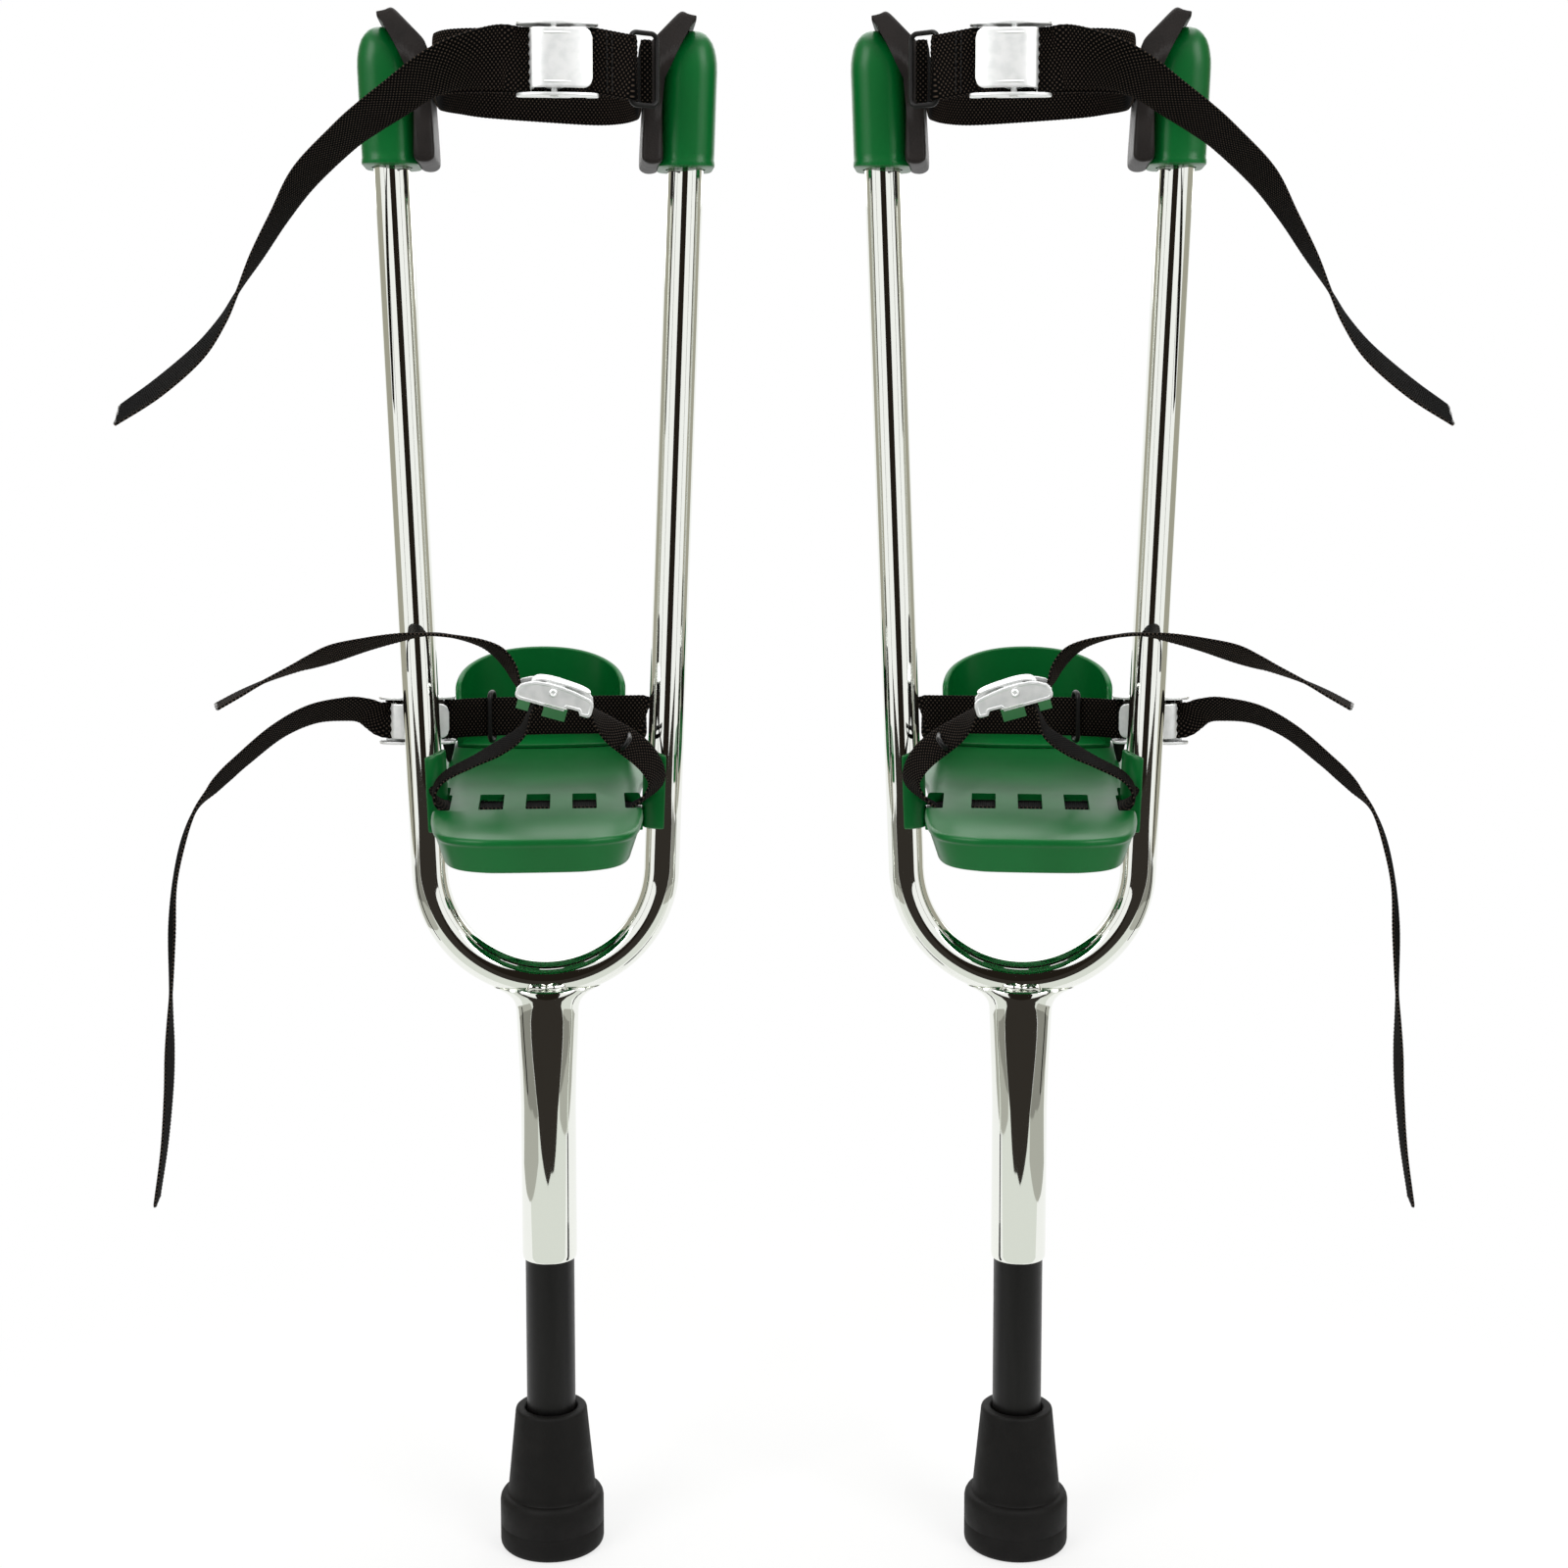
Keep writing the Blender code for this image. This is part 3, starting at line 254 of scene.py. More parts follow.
def moulded_rubber():
    """Moulded black rubber: matt, with a dusty bloom in 12 mm patches and a fine skin of 0.7 mm grain."""
    colours = settings()[2]
    made, tree, shader = finish("moulded_rubber", IOR=1.52, Specular_IOR_Level=0.16)
    if tree:
        bloom = scaled(colours.rubber, 1.9)
        tinted(tree, shader, grain(tree, 12 * MM, 5.0), 0.35, 0.8, colours.rubber, bloom)
        roughened(tree, shader, grain(tree, 5 * MM), 0.52, 0.72)
        bumped(tree, shader, grain(tree, 0.7 * MM), 0.00006)
    return made


def satin_paint():
    """Black stove paint on steel tube: satin, with a 1.2 mm orange peel and faint scuffs along it."""
    colours = settings()[2]
    made, tree, shader = finish("satin_paint", IOR=1.5, Specular_IOR_Level=0.28)
    if tree:
        scuff = scaled(colours.paint, 2.2)
        tinted(tree, shader, grain(tree, 3 * MM, 4.0, (1, 1, 0.1)), 0.45, 0.85, colours.paint, scuff)
        roughened(tree, shader, grain(tree, 4 * MM), 0.30, 0.46)
        bumped(tree, shader, grain(tree, 1.2 * MM), 0.00003)
    return made


def skinned_foam():
    """Skinned black foam: brown-black, satin where it was pressed, with closed cells 1 mm wide."""
    colours = settings()[2]
    made, tree, shader = finish("skinned_foam", IOR=1.48, Specular_IOR_Level=0.3)
    if tree:
        worn = scaled(colours.foam, 1.7)
        tinted(tree, shader, grain(tree, 10 * MM, 4.0), 0.3, 0.8, colours.foam, worn)
        place = node(tree, "ShaderNodeTexCoord").outputs["Object"]
        cells = node(tree, "ShaderNodeTexVoronoi", {"Vector": place, "Scale": 1 / (1.0 * MM)})
        roughened(tree, shader, grain(tree, 6 * MM), 0.42, 0.6)
        bumped(tree, shader, cells.outputs["Distance"], 0.00005)
    return made


def woven_polypropylene():
    """Woven polypropylene webbing: black ribs across the band, with a painted highlight on the yarns' tops
    and painted shade between them.
    """
    straps, colours = settings()[1:]
    made, tree, shader = finish("woven_polypropylene", IOR=1.49, Specular_IOR_Level=0.04)
    if tree:
        uv = node(tree, "ShaderNodeUVMap", uv_map="surface").outputs["UV"]
        split = node(tree, "ShaderNodeSeparateXYZ", {"Vector": uv})
        waves = []
        for axis, pitch in (("X", straps.pick), ("Y", straps.yarn)):
            turn = node(tree, "ShaderNodeMath", operation="MULTIPLY")
            tree.links.new(split.outputs[axis], turn.inputs[0])
            turn.inputs[1].default_value = 2 * math.pi / pitch
            wave = node(tree, "ShaderNodeMath", operation="COSINE")
            tree.links.new(turn.outputs["Value"], wave.inputs[0])
            waves.append(wave.outputs["Value"])
        cross = node(tree, "ShaderNodeMath", operation="MULTIPLY")
        tree.links.new(waves[0], cross.inputs[0])
        tree.links.new(waves[1], cross.inputs[1])
        height = node(tree, "ShaderNodeMapRange", {"Value": cross.outputs["Value"], "From Min": -1.0})
        # Lighter tops are a painted highlight and darker gaps are painted shade, both following the
        # crossings' height that also drives the relief.
        tinted(tree, shader, height.outputs["Result"], 0.62, 1.0, colours.yarn_black_and_shade, colours.yarn_highlight)
        # Single filaments are finer than a pixel, so their streaks are drawn 0.5 mm wide
        place = node(tree, "ShaderNodeMapping", {"Vector": uv, "Scale": (0.25, 1, 1)}).outputs["Vector"]
        streak = node(tree, "ShaderNodeTexNoise", {"Vector": place, "Scale": 1 / (0.5 * MM), "Detail": 2.0})
        roughened(tree, shader, streak.outputs["Fac"], 0.6, 0.85)
        lift = node(tree, "ShaderNodeMath", operation="MULTIPLY_ADD")
        tree.links.new(streak.outputs["Fac"], lift.inputs[0])
        lift.inputs[1].default_value = 0.3
        tree.links.new(height.outputs["Result"], lift.inputs[2])
        bumped(tree, shader, lift.outputs["Value"], 0.00035)
    return made


def melted_polypropylene():
    """Webbing ends sealed with a hot knife: a grey-black melted bead, half glossy and lumpy."""
    colours = settings()[2]
    made, tree, shader = finish("melted_polypropylene", IOR=1.49)
    if tree:
        pale = scaled(colours.sealed, 2.4)
        tinted(tree, shader, grain(tree, 1.5 * MM), 0.35, 0.75, colours.sealed, pale)
        roughened(tree, shader, grain(tree, 1 * MM), 0.25, 0.5)
        bumped(tree, shader, grain(tree, 0.9 * MM), 0.0002)
    return made


def polyester_thread():
    """Black polyester sewing thread: twisted, with a slight gloss."""
    colours = settings()[2]
    made, tree, shader = finish("polyester_thread", IOR=1.53, Specular_IOR_Level=0.2)
    if tree:
        # The thread's lighter tone is a dim share of the webbing's painted highlight colour, spread at
        # random by grain.
        lit = scaled(colours.yarn_highlight, 0.12)
        tinted(tree, shader, grain(tree, 0.6 * MM), 0.3, 0.7, colours.yarn_black_and_shade, lit)
        roughened(tree, shader, grain(tree, 1 * MM), 0.4, 0.6)
        bumped(tree, shader, grain(tree, 0.4 * MM), 0.00008)
    return made


# Shapes


def lofted(rings, uv=None, capped=True):
    """A grid bent through rings of points, closed to a tube and filled at its ends."""
    count = len(rings[0])
    bm = bmesh.new()
    layer = bm.loops.layers.uv.new("surface")
    bmesh.ops.create_grid(bm, x_segments=count, y_segments=len(rings) - 1, size=1)
    bm.verts.ensure_lookup_table()
    for i, ring in enumerate(rings):
        for j in range(count + 1):
            bm.verts[i * (count + 1) + j].co = ring[j % count]
    if uv:
        for face in bm.faces:
            for loop in face.loops:
                loop[layer].uv = uv(*divmod(loop.vert.index, count + 1))
    bmesh.ops.remove_doubles(bm, verts=bm.verts[:], dist=1e-7)
    if capped:
        bmesh.ops.holes_fill(bm, edges=[e for e in bm.edges if e.is_boundary], sides=0)
    bmesh.ops.recalc_face_normals(bm, faces=bm.faces[:])
    return bm


def turned(profile, steps=64):
    """A profile of radius and height spun about Z."""
    bm = bmesh.new()
    line = [bm.verts.new((r, 0, z)) for r, z in profile]
    edges = [bm.edges.new(pair) for pair in zip(line, line[1:])]
    bmesh.ops.spin(
        bm, geom=[*line, *edges], cent=(0, 0, 0), axis=(0, 0, 1),
        angle=2 * math.pi, steps=steps, use_merge=True,
    )
    bmesh.ops.remove_doubles(bm, verts=bm.verts[:], dist=1e-6)
    bmesh.ops.recalc_face_normals(bm, faces=bm.faces[:])
    return bm


def drawn(outline, low, high, edge=0.0):
    """A flat outline given as points, carried along Z and rounded at its edges."""
    bm = bmesh.new()
    face = bm.faces.new([bm.verts.new((x, y, low)) for x, y in outline])
    grown = bmesh.ops.extrude_face_region(bm, geom=[face])["geom"]
    top = [v for v in grown if isinstance(v, bmesh.types.BMVert)]
    bmesh.ops.translate(bm, verts=top, vec=(0, 0, high - low))
    bmesh.ops.recalc_face_normals(bm, faces=bm.faces[:])
    if edge:
        rim = [e for e in bm.edges if abs(e.verts[0].co.z - e.verts[1].co.z) < 1e-9]
        bmesh.ops.bevel(
            bm, geom=rim, offset=edge, offset_type="OFFSET", affect="EDGES",
            segments=3, profile=0.5, material=-1,
        )
    return bm


def stood(name, bm):
    """Makes an object of a mesh and links it to the scene."""
    mesh = bpy.data.meshes.new(name)
    bm.to_mesh(mesh)
    bm.free()
    thing = bpy.data.objects.new(name, mesh)
    bpy.context.scene.collection.objects.link(thing)
    return thing


def added(bm, other):
    """Puts a second mesh into the first."""
    mesh = bpy.data.meshes.new("joined")
    other.to_mesh(mesh)
    other.free()
    bm.from_mesh(mesh)
    bpy.data.meshes.remove(mesh)
    return bm


def placed(bm, matrix):
    """Moves all of a mesh."""
    bmesh.ops.transform(bm, matrix=matrix, verts=bm.verts[:], space=Matrix())
    return bm


def smooth(points, steps, cyclic=False):
    """Points on a Catmull-Rom curve through the given ones."""
    points = [Vector(p) for p in points]
    if cyclic:
        ends = [points[-1], *points, points[0], points[1]]
    else:
        ends = [2 * points[0] - points[1], *points, 2 * points[-1] - points[-2]]
    line = []
    for a, b, c, d in zip(ends, ends[1:], ends[2:], ends[3:]):
        for i in range(steps):
            t = i / steps
            curve = 2 * b + (c - a) * t + (2 * a - 5 * b + 4 * c - d) * t * t
            line.append((curve + (3 * b - a - 3 * c + d) * t**3) / 2)
    return line if cyclic else [*line, points[-1]]


def evenly(points, extra, step, even=False):
    """Points at equal steps along a line, with a second list carried along."""
    lengths = [0.0]
    for a, b in zip(points, points[1:]):
        lengths.append(lengths[-1] + (b - a).length)
    count = max(2, round(lengths[-1] / step))
    if even and count % 2:
        count += 1
    spots, carried = [], []
    k = 0
    for i in range(count + 1):
        goal = lengths[-1] * i / count
        while k < len(points) - 2 and lengths[k + 1] < goal:
            k += 1
        t = (goal - lengths[k]) / max(1e-9, lengths[k + 1] - lengths[k])
        spots.append(points[k].lerp(points[k + 1], min(1, max(0, t))))
        carried.append(extra[k].lerp(extra[k + 1], min(1, max(0, t))))
    return spots, carried, lengths[-1]


def runs(points, cyclic=False):
    """The direction of a line at each of its points."""
    last = len(points) - 1
    out = []
    for i in range(len(points)):
        ahead = points[(i + 1) % len(points)] if cyclic else points[min(i + 1, last)]
        behind = points[i - 1] if cyclic else points[max(i - 1, 0)]
        out.append((ahead - behind).normalized())
    return out


def webbing(points, across, width, cyclic=False):
    """A woven band along a centreline, with relief at every crossing and scalloped selvedges."""
    straps = settings()[1]
    spots, sides, total = evenly(points, across, straps.pick / 2, cyclic)
    columns = max(4, round(width / (straps.yarn / 2)))
    rings = []
    for i, (spot, side, run) in enumerate(zip(spots, sides, runs(spots))):
        side = (side - run * side.dot(run)).normalized()
        out = run.cross(side)
        faces = ([], [])
        for j in range(columns + 1):
            share = 2 * j / columns - 1
            edge = abs(share) ** 10
            knot = 1 if (i + j) % 2 == 0 else -1
            reach = share * width / 2 - math.copysign(SCALLOP * (i % 2) * edge, share)
            half = straps.thick / 2 * (1 - 0.5 * edge)
            bump = straps.relief * knot * (1 - edge)
            faces[0].append(spot + side * reach + out * (half + bump))
            faces[1].append(spot + side * reach - out * (half - bump))
        rings.append([*faces[0], *reversed(faces[1])])
    if cyclic:
        rings[-1] = rings[0]
    step = total / (len(spots) - 1)

    def uv(i, j):
        j = j % (2 * columns + 2)
        column = j if j <= columns else 2 * columns + 1 - j
        return i * step, column * straps.yarn / 2

    return lofted(rings, uv, not cyclic), spots, sides


def wire(points, radius, normal, sides=14, cyclic=False):
    """A round wire along points in a plane with a normal."""
    rings = []
    normal = Vector(normal)
    for spot, run in zip(points, runs(points, cyclic)):
        out = run.cross(normal).normalized()
        ring = []
        for k in range(sides):
            a = 2 * math.pi * k / sides
            ring.append(spot + radius * (math.cos(a) * out + math.sin(a) * normal))
        rings.append(ring)
    if cyclic:
        rings.append(rings[0])
    return lofted(rings, None, not cyclic)


def stilt_matrix(side):
    """From a stilt's own frame to the pair's, with the right stilt mirrored."""
    sizes = settings()[0]
    hand = -1 if side == "left" else 1
    place = Matrix.Translation((hand * sizes.spacing / 2, sizes.shift, 0))
    turn = Matrix.Rotation(-hand * sizes.toe_in, 4, "Z")
    flip = Matrix.Scale(-1, 4, (1, 0, 0)) if side == "right" else Matrix()
    return place @ turn @ flip


def both(name, bm, material, hides=(), body="pair"):
    """Stands a piece on the left stilt and its mirror image on the right one."""
    made = []
    for side in SIDES:
        copy = bm.copy()
        placed(copy, stilt_matrix(side))
        if side == "right":
            bmesh.ops.reverse_faces(copy, faces=copy.faces[:])
        piece = stood(f"{side}_{name}", copy)
        piece.data.shade_smooth()
        piece.data.set_sharp_from_angle(angle=math.radians(SHARP_ANGLE))
        piece.data.materials.append(material)
        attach(piece, body if body == "pair" else f"{side}_{body}")
        if hides:
            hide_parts(*[f"{side}_{hidden}" for hidden in hides])
        made.append(piece)
    bm.free()
    return made


def leg_x(height):
    """How far a leg's centreline is from the stilt's axis at a height."""
    sizes = settings()[0]
    lean = math.atan(sizes.slope)
    start = sizes.frame_low + sizes.bend * (1 - math.sin(lean))
    return sizes.bend * math.cos(lean) + sizes.slope * (height - start)


def arc(centre, radius, start, end, steps):
    """Points in a plane round a centre, by degrees."""
    turns = [math.radians(start + (end - start) * i / steps) for i in range(steps + 1)]
    return [(centre[0] + radius * math.cos(a), centre[1] + radius * math.sin(a)) for a in turns]


# Camera and free tails

LOOSE_END = 0.020
SENSOR = 36
PICTURE_PIXELS = 1600
FOCAL_PIXELS = 2450
CAMERA_SHIFT = -0.096
CAMERA_AWAY = 1.2
CAMERA_HEIGHT = 0.59
CAMERA_DIP = 5.5


class STILTS_OT_camera(bpy.types.Operator):
    """Puts the camera where the pair was seen from: in front, a little above the plates"""

    bl_idname = "stilts.camera"
    bl_label = "Camera"

    def execute(self, context):
        sizes = settings()[0]
        lens = bpy.data.cameras.new("camera")
        lens.sensor_width = SENSOR
        lens.lens = FOCAL_PIXELS / PICTURE_PIXELS * SENSOR
        lens.shift_y = CAMERA_SHIFT
        view = bpy.data.objects.new("camera", lens)
        view.location = (0, sizes.shift - CAMERA_AWAY, CAMERA_HEIGHT)
        view.rotation_euler = (math.radians(90 - CAMERA_DIP), 0, 0)
        context.scene.collection.objects.link(view)
        context.scene.camera = view
        return {"FINISHED"}


# Points along each free tail's centreline in mm, with the webbing's turn about its own line in degrees
KNEE_TAIL = [
    (-3.0, -52.6, 750.0, 0), (-7.2, -52.6, 750.1, 0), (-11.4, -52.8, 750.5, 5),
    (-17.0, -54.6, 750.9, 16), (-29.2, -59.4, 748.8, 37), (-41.5, -60.0, 745.3, 49),
    (-53.7, -58.0, 739.3, 57), (-66.1, -55.5, 730.9, 61), (-78.5, -53.0, 722.6, 65),
    (-90.9, -50.8, 713.1, 69), (-108.9, -49.0, 695.5, 72), (-121.2, -48.0, 676.9, 81),
    (-132.3, -47.0, 658.3, 87), (-141.7, -46.2, 641.5, 98), (-148.9, -46.0, 628.4, 104),
    (-160.4, -47.0, 613.2, 110), (-178.8, -50.0, 596.8, 111), (-197.2, -52.0, 584.1, 108),
]
ANKLE_TAIL = [
    (-77.4, 22.4, 429.0, 0), (-82.0, 22.2, 429.2, 14), (-86.6, 21.4, 431.4, 31),
    (-91.4, 20.0, 433.8, 42), (-100.0, 18.4, 435.0, 47), (-117.2, 15.1, 433.0, 56),
    (-134.5, 11.9, 424.7, 64), (-151.7, 8.6, 410.9, 68), (-160.3, 7.0, 403.1, 70),
    (-166.2, 5.3, 397.0, 76), (-174.2, 2.1, 387.4, 92), (-180.2, 0.0, 371.9, 100),
    (-185.0, 0.0, 350.7, 101), (-187.0, 0.0, 326.4, 107), (-188.1, 0.0, 299.6, 101),
    (-189.0, 0.0, 281.4, 93), (-189.6, 0.0, 265.0, 87), (-190.5, 0.0, 244.7, 87),
    (-193.3, 0.0, 215.7, 90), (-197.7, 0.0, 187.6, 92),
]
TOE_TAIL = [
    (-7.5, -23.5, 446.9, 90), (-10.9, -23.5, 448.8, 86), (-13.4, -23.5, 453.2, 78),
    (-16.5, -23.5, 460.5, 70), (-22.0, -23.5, 467.5, 68), (-31.0, -23.5, 472.4, 76),
    (-45.0, -23.5, 475.8, 84), (-57.3, -23.5, 476.8, 84), (-71.7, -24.3, 475.1, 74),
    (-86.8, -25.6, 472.1, 67), (-101.8, -27.0, 468.2, 61), (-112.9, -28.6, 464.2, 68),
    (-120.4, -29.4, 461.3, 76), (-135.3, -31.2, 455.0, 87), (-146.3, -33.0, 449.5, 94),
    (-157.1, -35.0, 443.7, 96),
]


def tail_line(route):
    """A tail's centreline and its width direction at each point."""
    line = smooth([Vector(p[:3]) * MM for p in route], 8)
    turns = [t.x for t in smooth([(math.radians(p[3]), 0, 0) for p in route], 8)]
    across = []
    for run, turn in zip(runs(line), turns):
        flat = Vector((0, 1, 0))
        flat = (flat - run * flat.dot(run)).normalized()
        across.append(math.cos(turn) * run.cross(flat) + math.sin(turn) * flat)
    return line, across


def sealed_end(spot, side, run, width):
    """The melted bead across a cut end, thicker at one corner where it was pressed over."""
    straps = settings()[1]
    out = run.cross(side).normalized()
    rings = []
    steps = 12
    for i in range(steps + 1):
        share = 2 * i / steps - 1
        swell = 0.60 + 0.10 * math.sin(7 * share + 1) + 0.20 * max(0, share) ** 2
        swell *= math.sqrt(max(0.03, 1 - share**8))
        centre = spot + side * share * (width / 2 - 0.0006) + run * 0.0001 * math.sin(5 * share)
        ring = []
        for k in range(10):
            a = 2 * math.pi * k / 10
            reach = straps.thick * swell * (1 + 0.12 * math.sin(3 * a + 4 * share))
            ring.append(centre + reach * (1.1 * math.cos(a) * run + 0.95 * math.sin(a) * out))
        rings.append(ring)
    return lofted(rings)


class STILTS_OT_tails(bpy.types.Operator):
    """Runs the free end of each strap out of its buckle, with its sealed end"""

    bl_idname = "stilts.tails"
    bl_label = "Free tails"

    def execute(self, context):
        straps = settings()[1]
        for name, route, width, slant in (
            ("knee", KNEE_TAIL, straps.knee, -0.2),
            ("ankle", ANKLE_TAIL, straps.foot, 0.0),
            ("toe", TOE_TAIL, straps.foot, 0.0),
        ):
            line, across = tail_line(route)
            bm, spots, sides = webbing(line, across, width)
            run = (spots[-1] - spots[-3]).normalized()
            side = sides[-1].normalized()
            for vert in bm.verts:
                # The knee tail is cut askew, so its last stretch leans over
                away = vert.co - spots[-1]
                lean = max(0, 1 + away.dot(run) / LOOSE_END)
                vert.co += run * slant * away.dot(side) * lean
            bead = sealed_end(spots[-1], side + run * slant, run, width)
            bands = both(f"{name}_free_end", bm, woven_polypropylene(), [f"{name}_tail"])
            beads = both(f"{name}_sealed_end", bead, melted_polypropylene())
            for stilt, band, tip in zip(SIDES, bands, beads):
                path = [stilt_matrix(stilt) @ spot for spot in spots]
                total = sum((b - a).length for a, b in zip(path, path[1:]))
                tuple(path[0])
        return {"FINISHED"}


# Straps


KNEE_BUCKLE = Vector((0.0094, -0.050, 0.750))
ANKLE_BUCKLE = Vector((-0.065, 0.025, 0.429))
TOE_BUCKLE = Vector((0.004, -0.0235, 0.441))
TOE_DIP = math.radians(16)
RING_FRONT = Vector((0.0440, -0.0512))
RING_REAR = Vector((0.0565, -0.0430))
RING_HOOK = Vector((0.0514, -0.0375))
RING_DROP = 0.0030
BASE_END = 0.006
BAR_ALONG = 0.0167
BAR_RADIUS = 0.0014
BAR_ABOVE = 0.0018
PIN_ALONG = -0.0015
PIN_ABOVE = 0.0075
PIN_RADIUS = 0.0015
LIP_LEAN = 31
STRAP_OFF = 0.0011
KNEE_SAG = 0.0035
TOE_SWAY = 0.0145
HEEL_INSET = 0.0058
GRIP_ALONG = PIN_ALONG - 0.0105
SCALLOP = 0.00022
STITCH_RADIUS = 0.00032
STITCH_RISE = 0.0002
STITCH_PITCH = 0.0031


def strap_in_buckle():
    """The webbing's centreline in a buckle: under the base, round its end and back under the teeth."""
    middle = settings()[1].sheet / 2
    wrap = arc((BASE_END, middle), middle + STRAP_OFF, -90, 90, 6)
    return [(-0.004, -STRAP_OFF), *wrap, (GRIP_ALONG, 2 * middle + STRAP_OFF)]


def pad_face(height):
    """How far inward from its leg a pad's face is at a height."""
    sizes = settings()[0]
    share = (height - sizes.cap_foot - 0.0036) / 0.0530
    return sizes.cap_half + 0.00015 + sizes.pad - 0.0013 * share


def knee_route():
    """Points of the knee strap, from the ring round the calf to the buckle, lower at the inner pad."""
    sizes, straps = settings()[:2]
    hook = arc(RING_HOOK, straps.wire / 2 + STRAP_OFF, -150, 60, 7)
    low = KNEE_BUCKLE.z - straps.knee / 2 - KNEE_SAG
    x = leg_x(low) - pad_face(low) - STRAP_OFF
    half = sizes.pad_deep / 2
    right = [(x, -half - 0.002), (x, 0.015), (x - 0.002, 0.030), (x - 0.009, 0.044)]
    right.append((x - 0.022, half + 0.0255))
    left = [(-x, 0.015), (-x, -0.022), (-x + 0.002, -0.034), (-x + 0.0075, -0.043)]
    left.append((-x + 0.017, -0.0478))
    bend = [*right, (0, half + 0.029), *[(-a, b) for a, b in reversed(right[2:])], *left]
    inside = [(KNEE_BUCKLE.x + u, KNEE_BUCKLE.y - w) for u, w in strap_in_buckle()]
    plan = [*hook, *bend, (KNEE_BUCKLE.x - 0.026, inside[0][1]), *inside]
    sags = [RING_DROP / KNEE_SAG] * len(hook) + [0.88, 0.92, 0.96, 1, 0.9, 0.4, 0, -0.2, -0.1]
    sags += [0] * (len(plan) - len(sags))
    return [(a, b, KNEE_BUCKLE.z - KNEE_SAG * sag) for (a, b), sag in zip(plan, sags)]


def short_route():
    """Plan points of the short loop between the knee buckle's bar and its ring."""
    straps = settings()[1]
    bar = (KNEE_BUCKLE.x + BAR_ALONG, KNEE_BUCKLE.y - BAR_ABOVE)
    loop = arc(bar, BAR_RADIUS + STRAP_OFF, 90, 270, 6)
    return [*loop, *arc(RING_FRONT, straps.wire / 2 + STRAP_OFF, -90, 90, 6)]


def heel_line(inset, front):
    """The heel's plan from its right front end round to its left, drawn in from the plate's edge."""
    sizes = settings()[0]
    half = sizes.plate_half - inset
    rear = sizes.plate_rear - inset + 0.003
    right = [
        (half, front),
        (half, rear - 0.030),
        (0.93 * half, rear - 0.018),
        (0.76 * half, rear - 0.008),
        (0.50 * half, rear - 0.002),
        (0.18 * half, rear),
    ]
    return [*right, *[(-x, y) for x, y in reversed(right)]]


def ankle_route():
    """Points of the ankle strap, from the buckle's bar over the foot, round the heel and back."""
    sizes, straps = settings()[:2]
    bx, by = ANKLE_BUCKLE.x, ANKLE_BUCKLE.y
    hook = arc((bx + BAR_ALONG, by - BAR_ABOVE), BAR_RADIUS + STRAP_OFF, 40, 290, 8)
    side = sizes.plate_half - 0.0005
    heel = heel_line(HEEL_INSET - STRAP_OFF - 0.0008, 0.092)
    heel = [(a + sizes.plate_shift, b * math.cos(sizes.plate_tilt) + 0.0002) for a, b in heel]
    front = [(bx + 0.026, by + 0.0002), (-0.027, by + 0.003), (0, by + 0.006), (0.030, by + 0.0065)]
    fold = [(side - 0.006, by + 0.007), (side - 0.001, by + 0.010), (side, by + 0.016)]
    back = [(-side - 0.001, 0.070), (bx + 0.0118, by + 0.016), (bx + 0.0103, by + 0.006)]
    face = by - straps.sheet - STRAP_OFF
    over = [(bx + 0.0090, by + 0.001), (bx + 0.0075, by - 0.0017), (bx + BASE_END - 0.001, face)]
    plan = [*hook, *front, *fold, *heel, *back, *over, (bx + GRIP_ALONG, face)]
    points = []
    for a, b in plan:
        # Behind the buckle the band drops until it rests on the plate
        rest = sizes.plate_top + b * math.tan(sizes.plate_tilt) + straps.foot / 2 + 0.0012
        share = min(1, max(0, (b - by - 0.006) / 0.040))
        points.append((a, b, ANKLE_BUCKLE.z + (rest - ANKLE_BUCKLE.z) * share * share * (3 - 2 * share)))
    return points


def toe_axes():
    """The toe buckle's directions along its webbing and out of its face."""
    level, drop = math.cos(TOE_DIP), math.sin(TOE_DIP)
    return Vector((level, 0, -drop)), Vector((drop, 0, level))


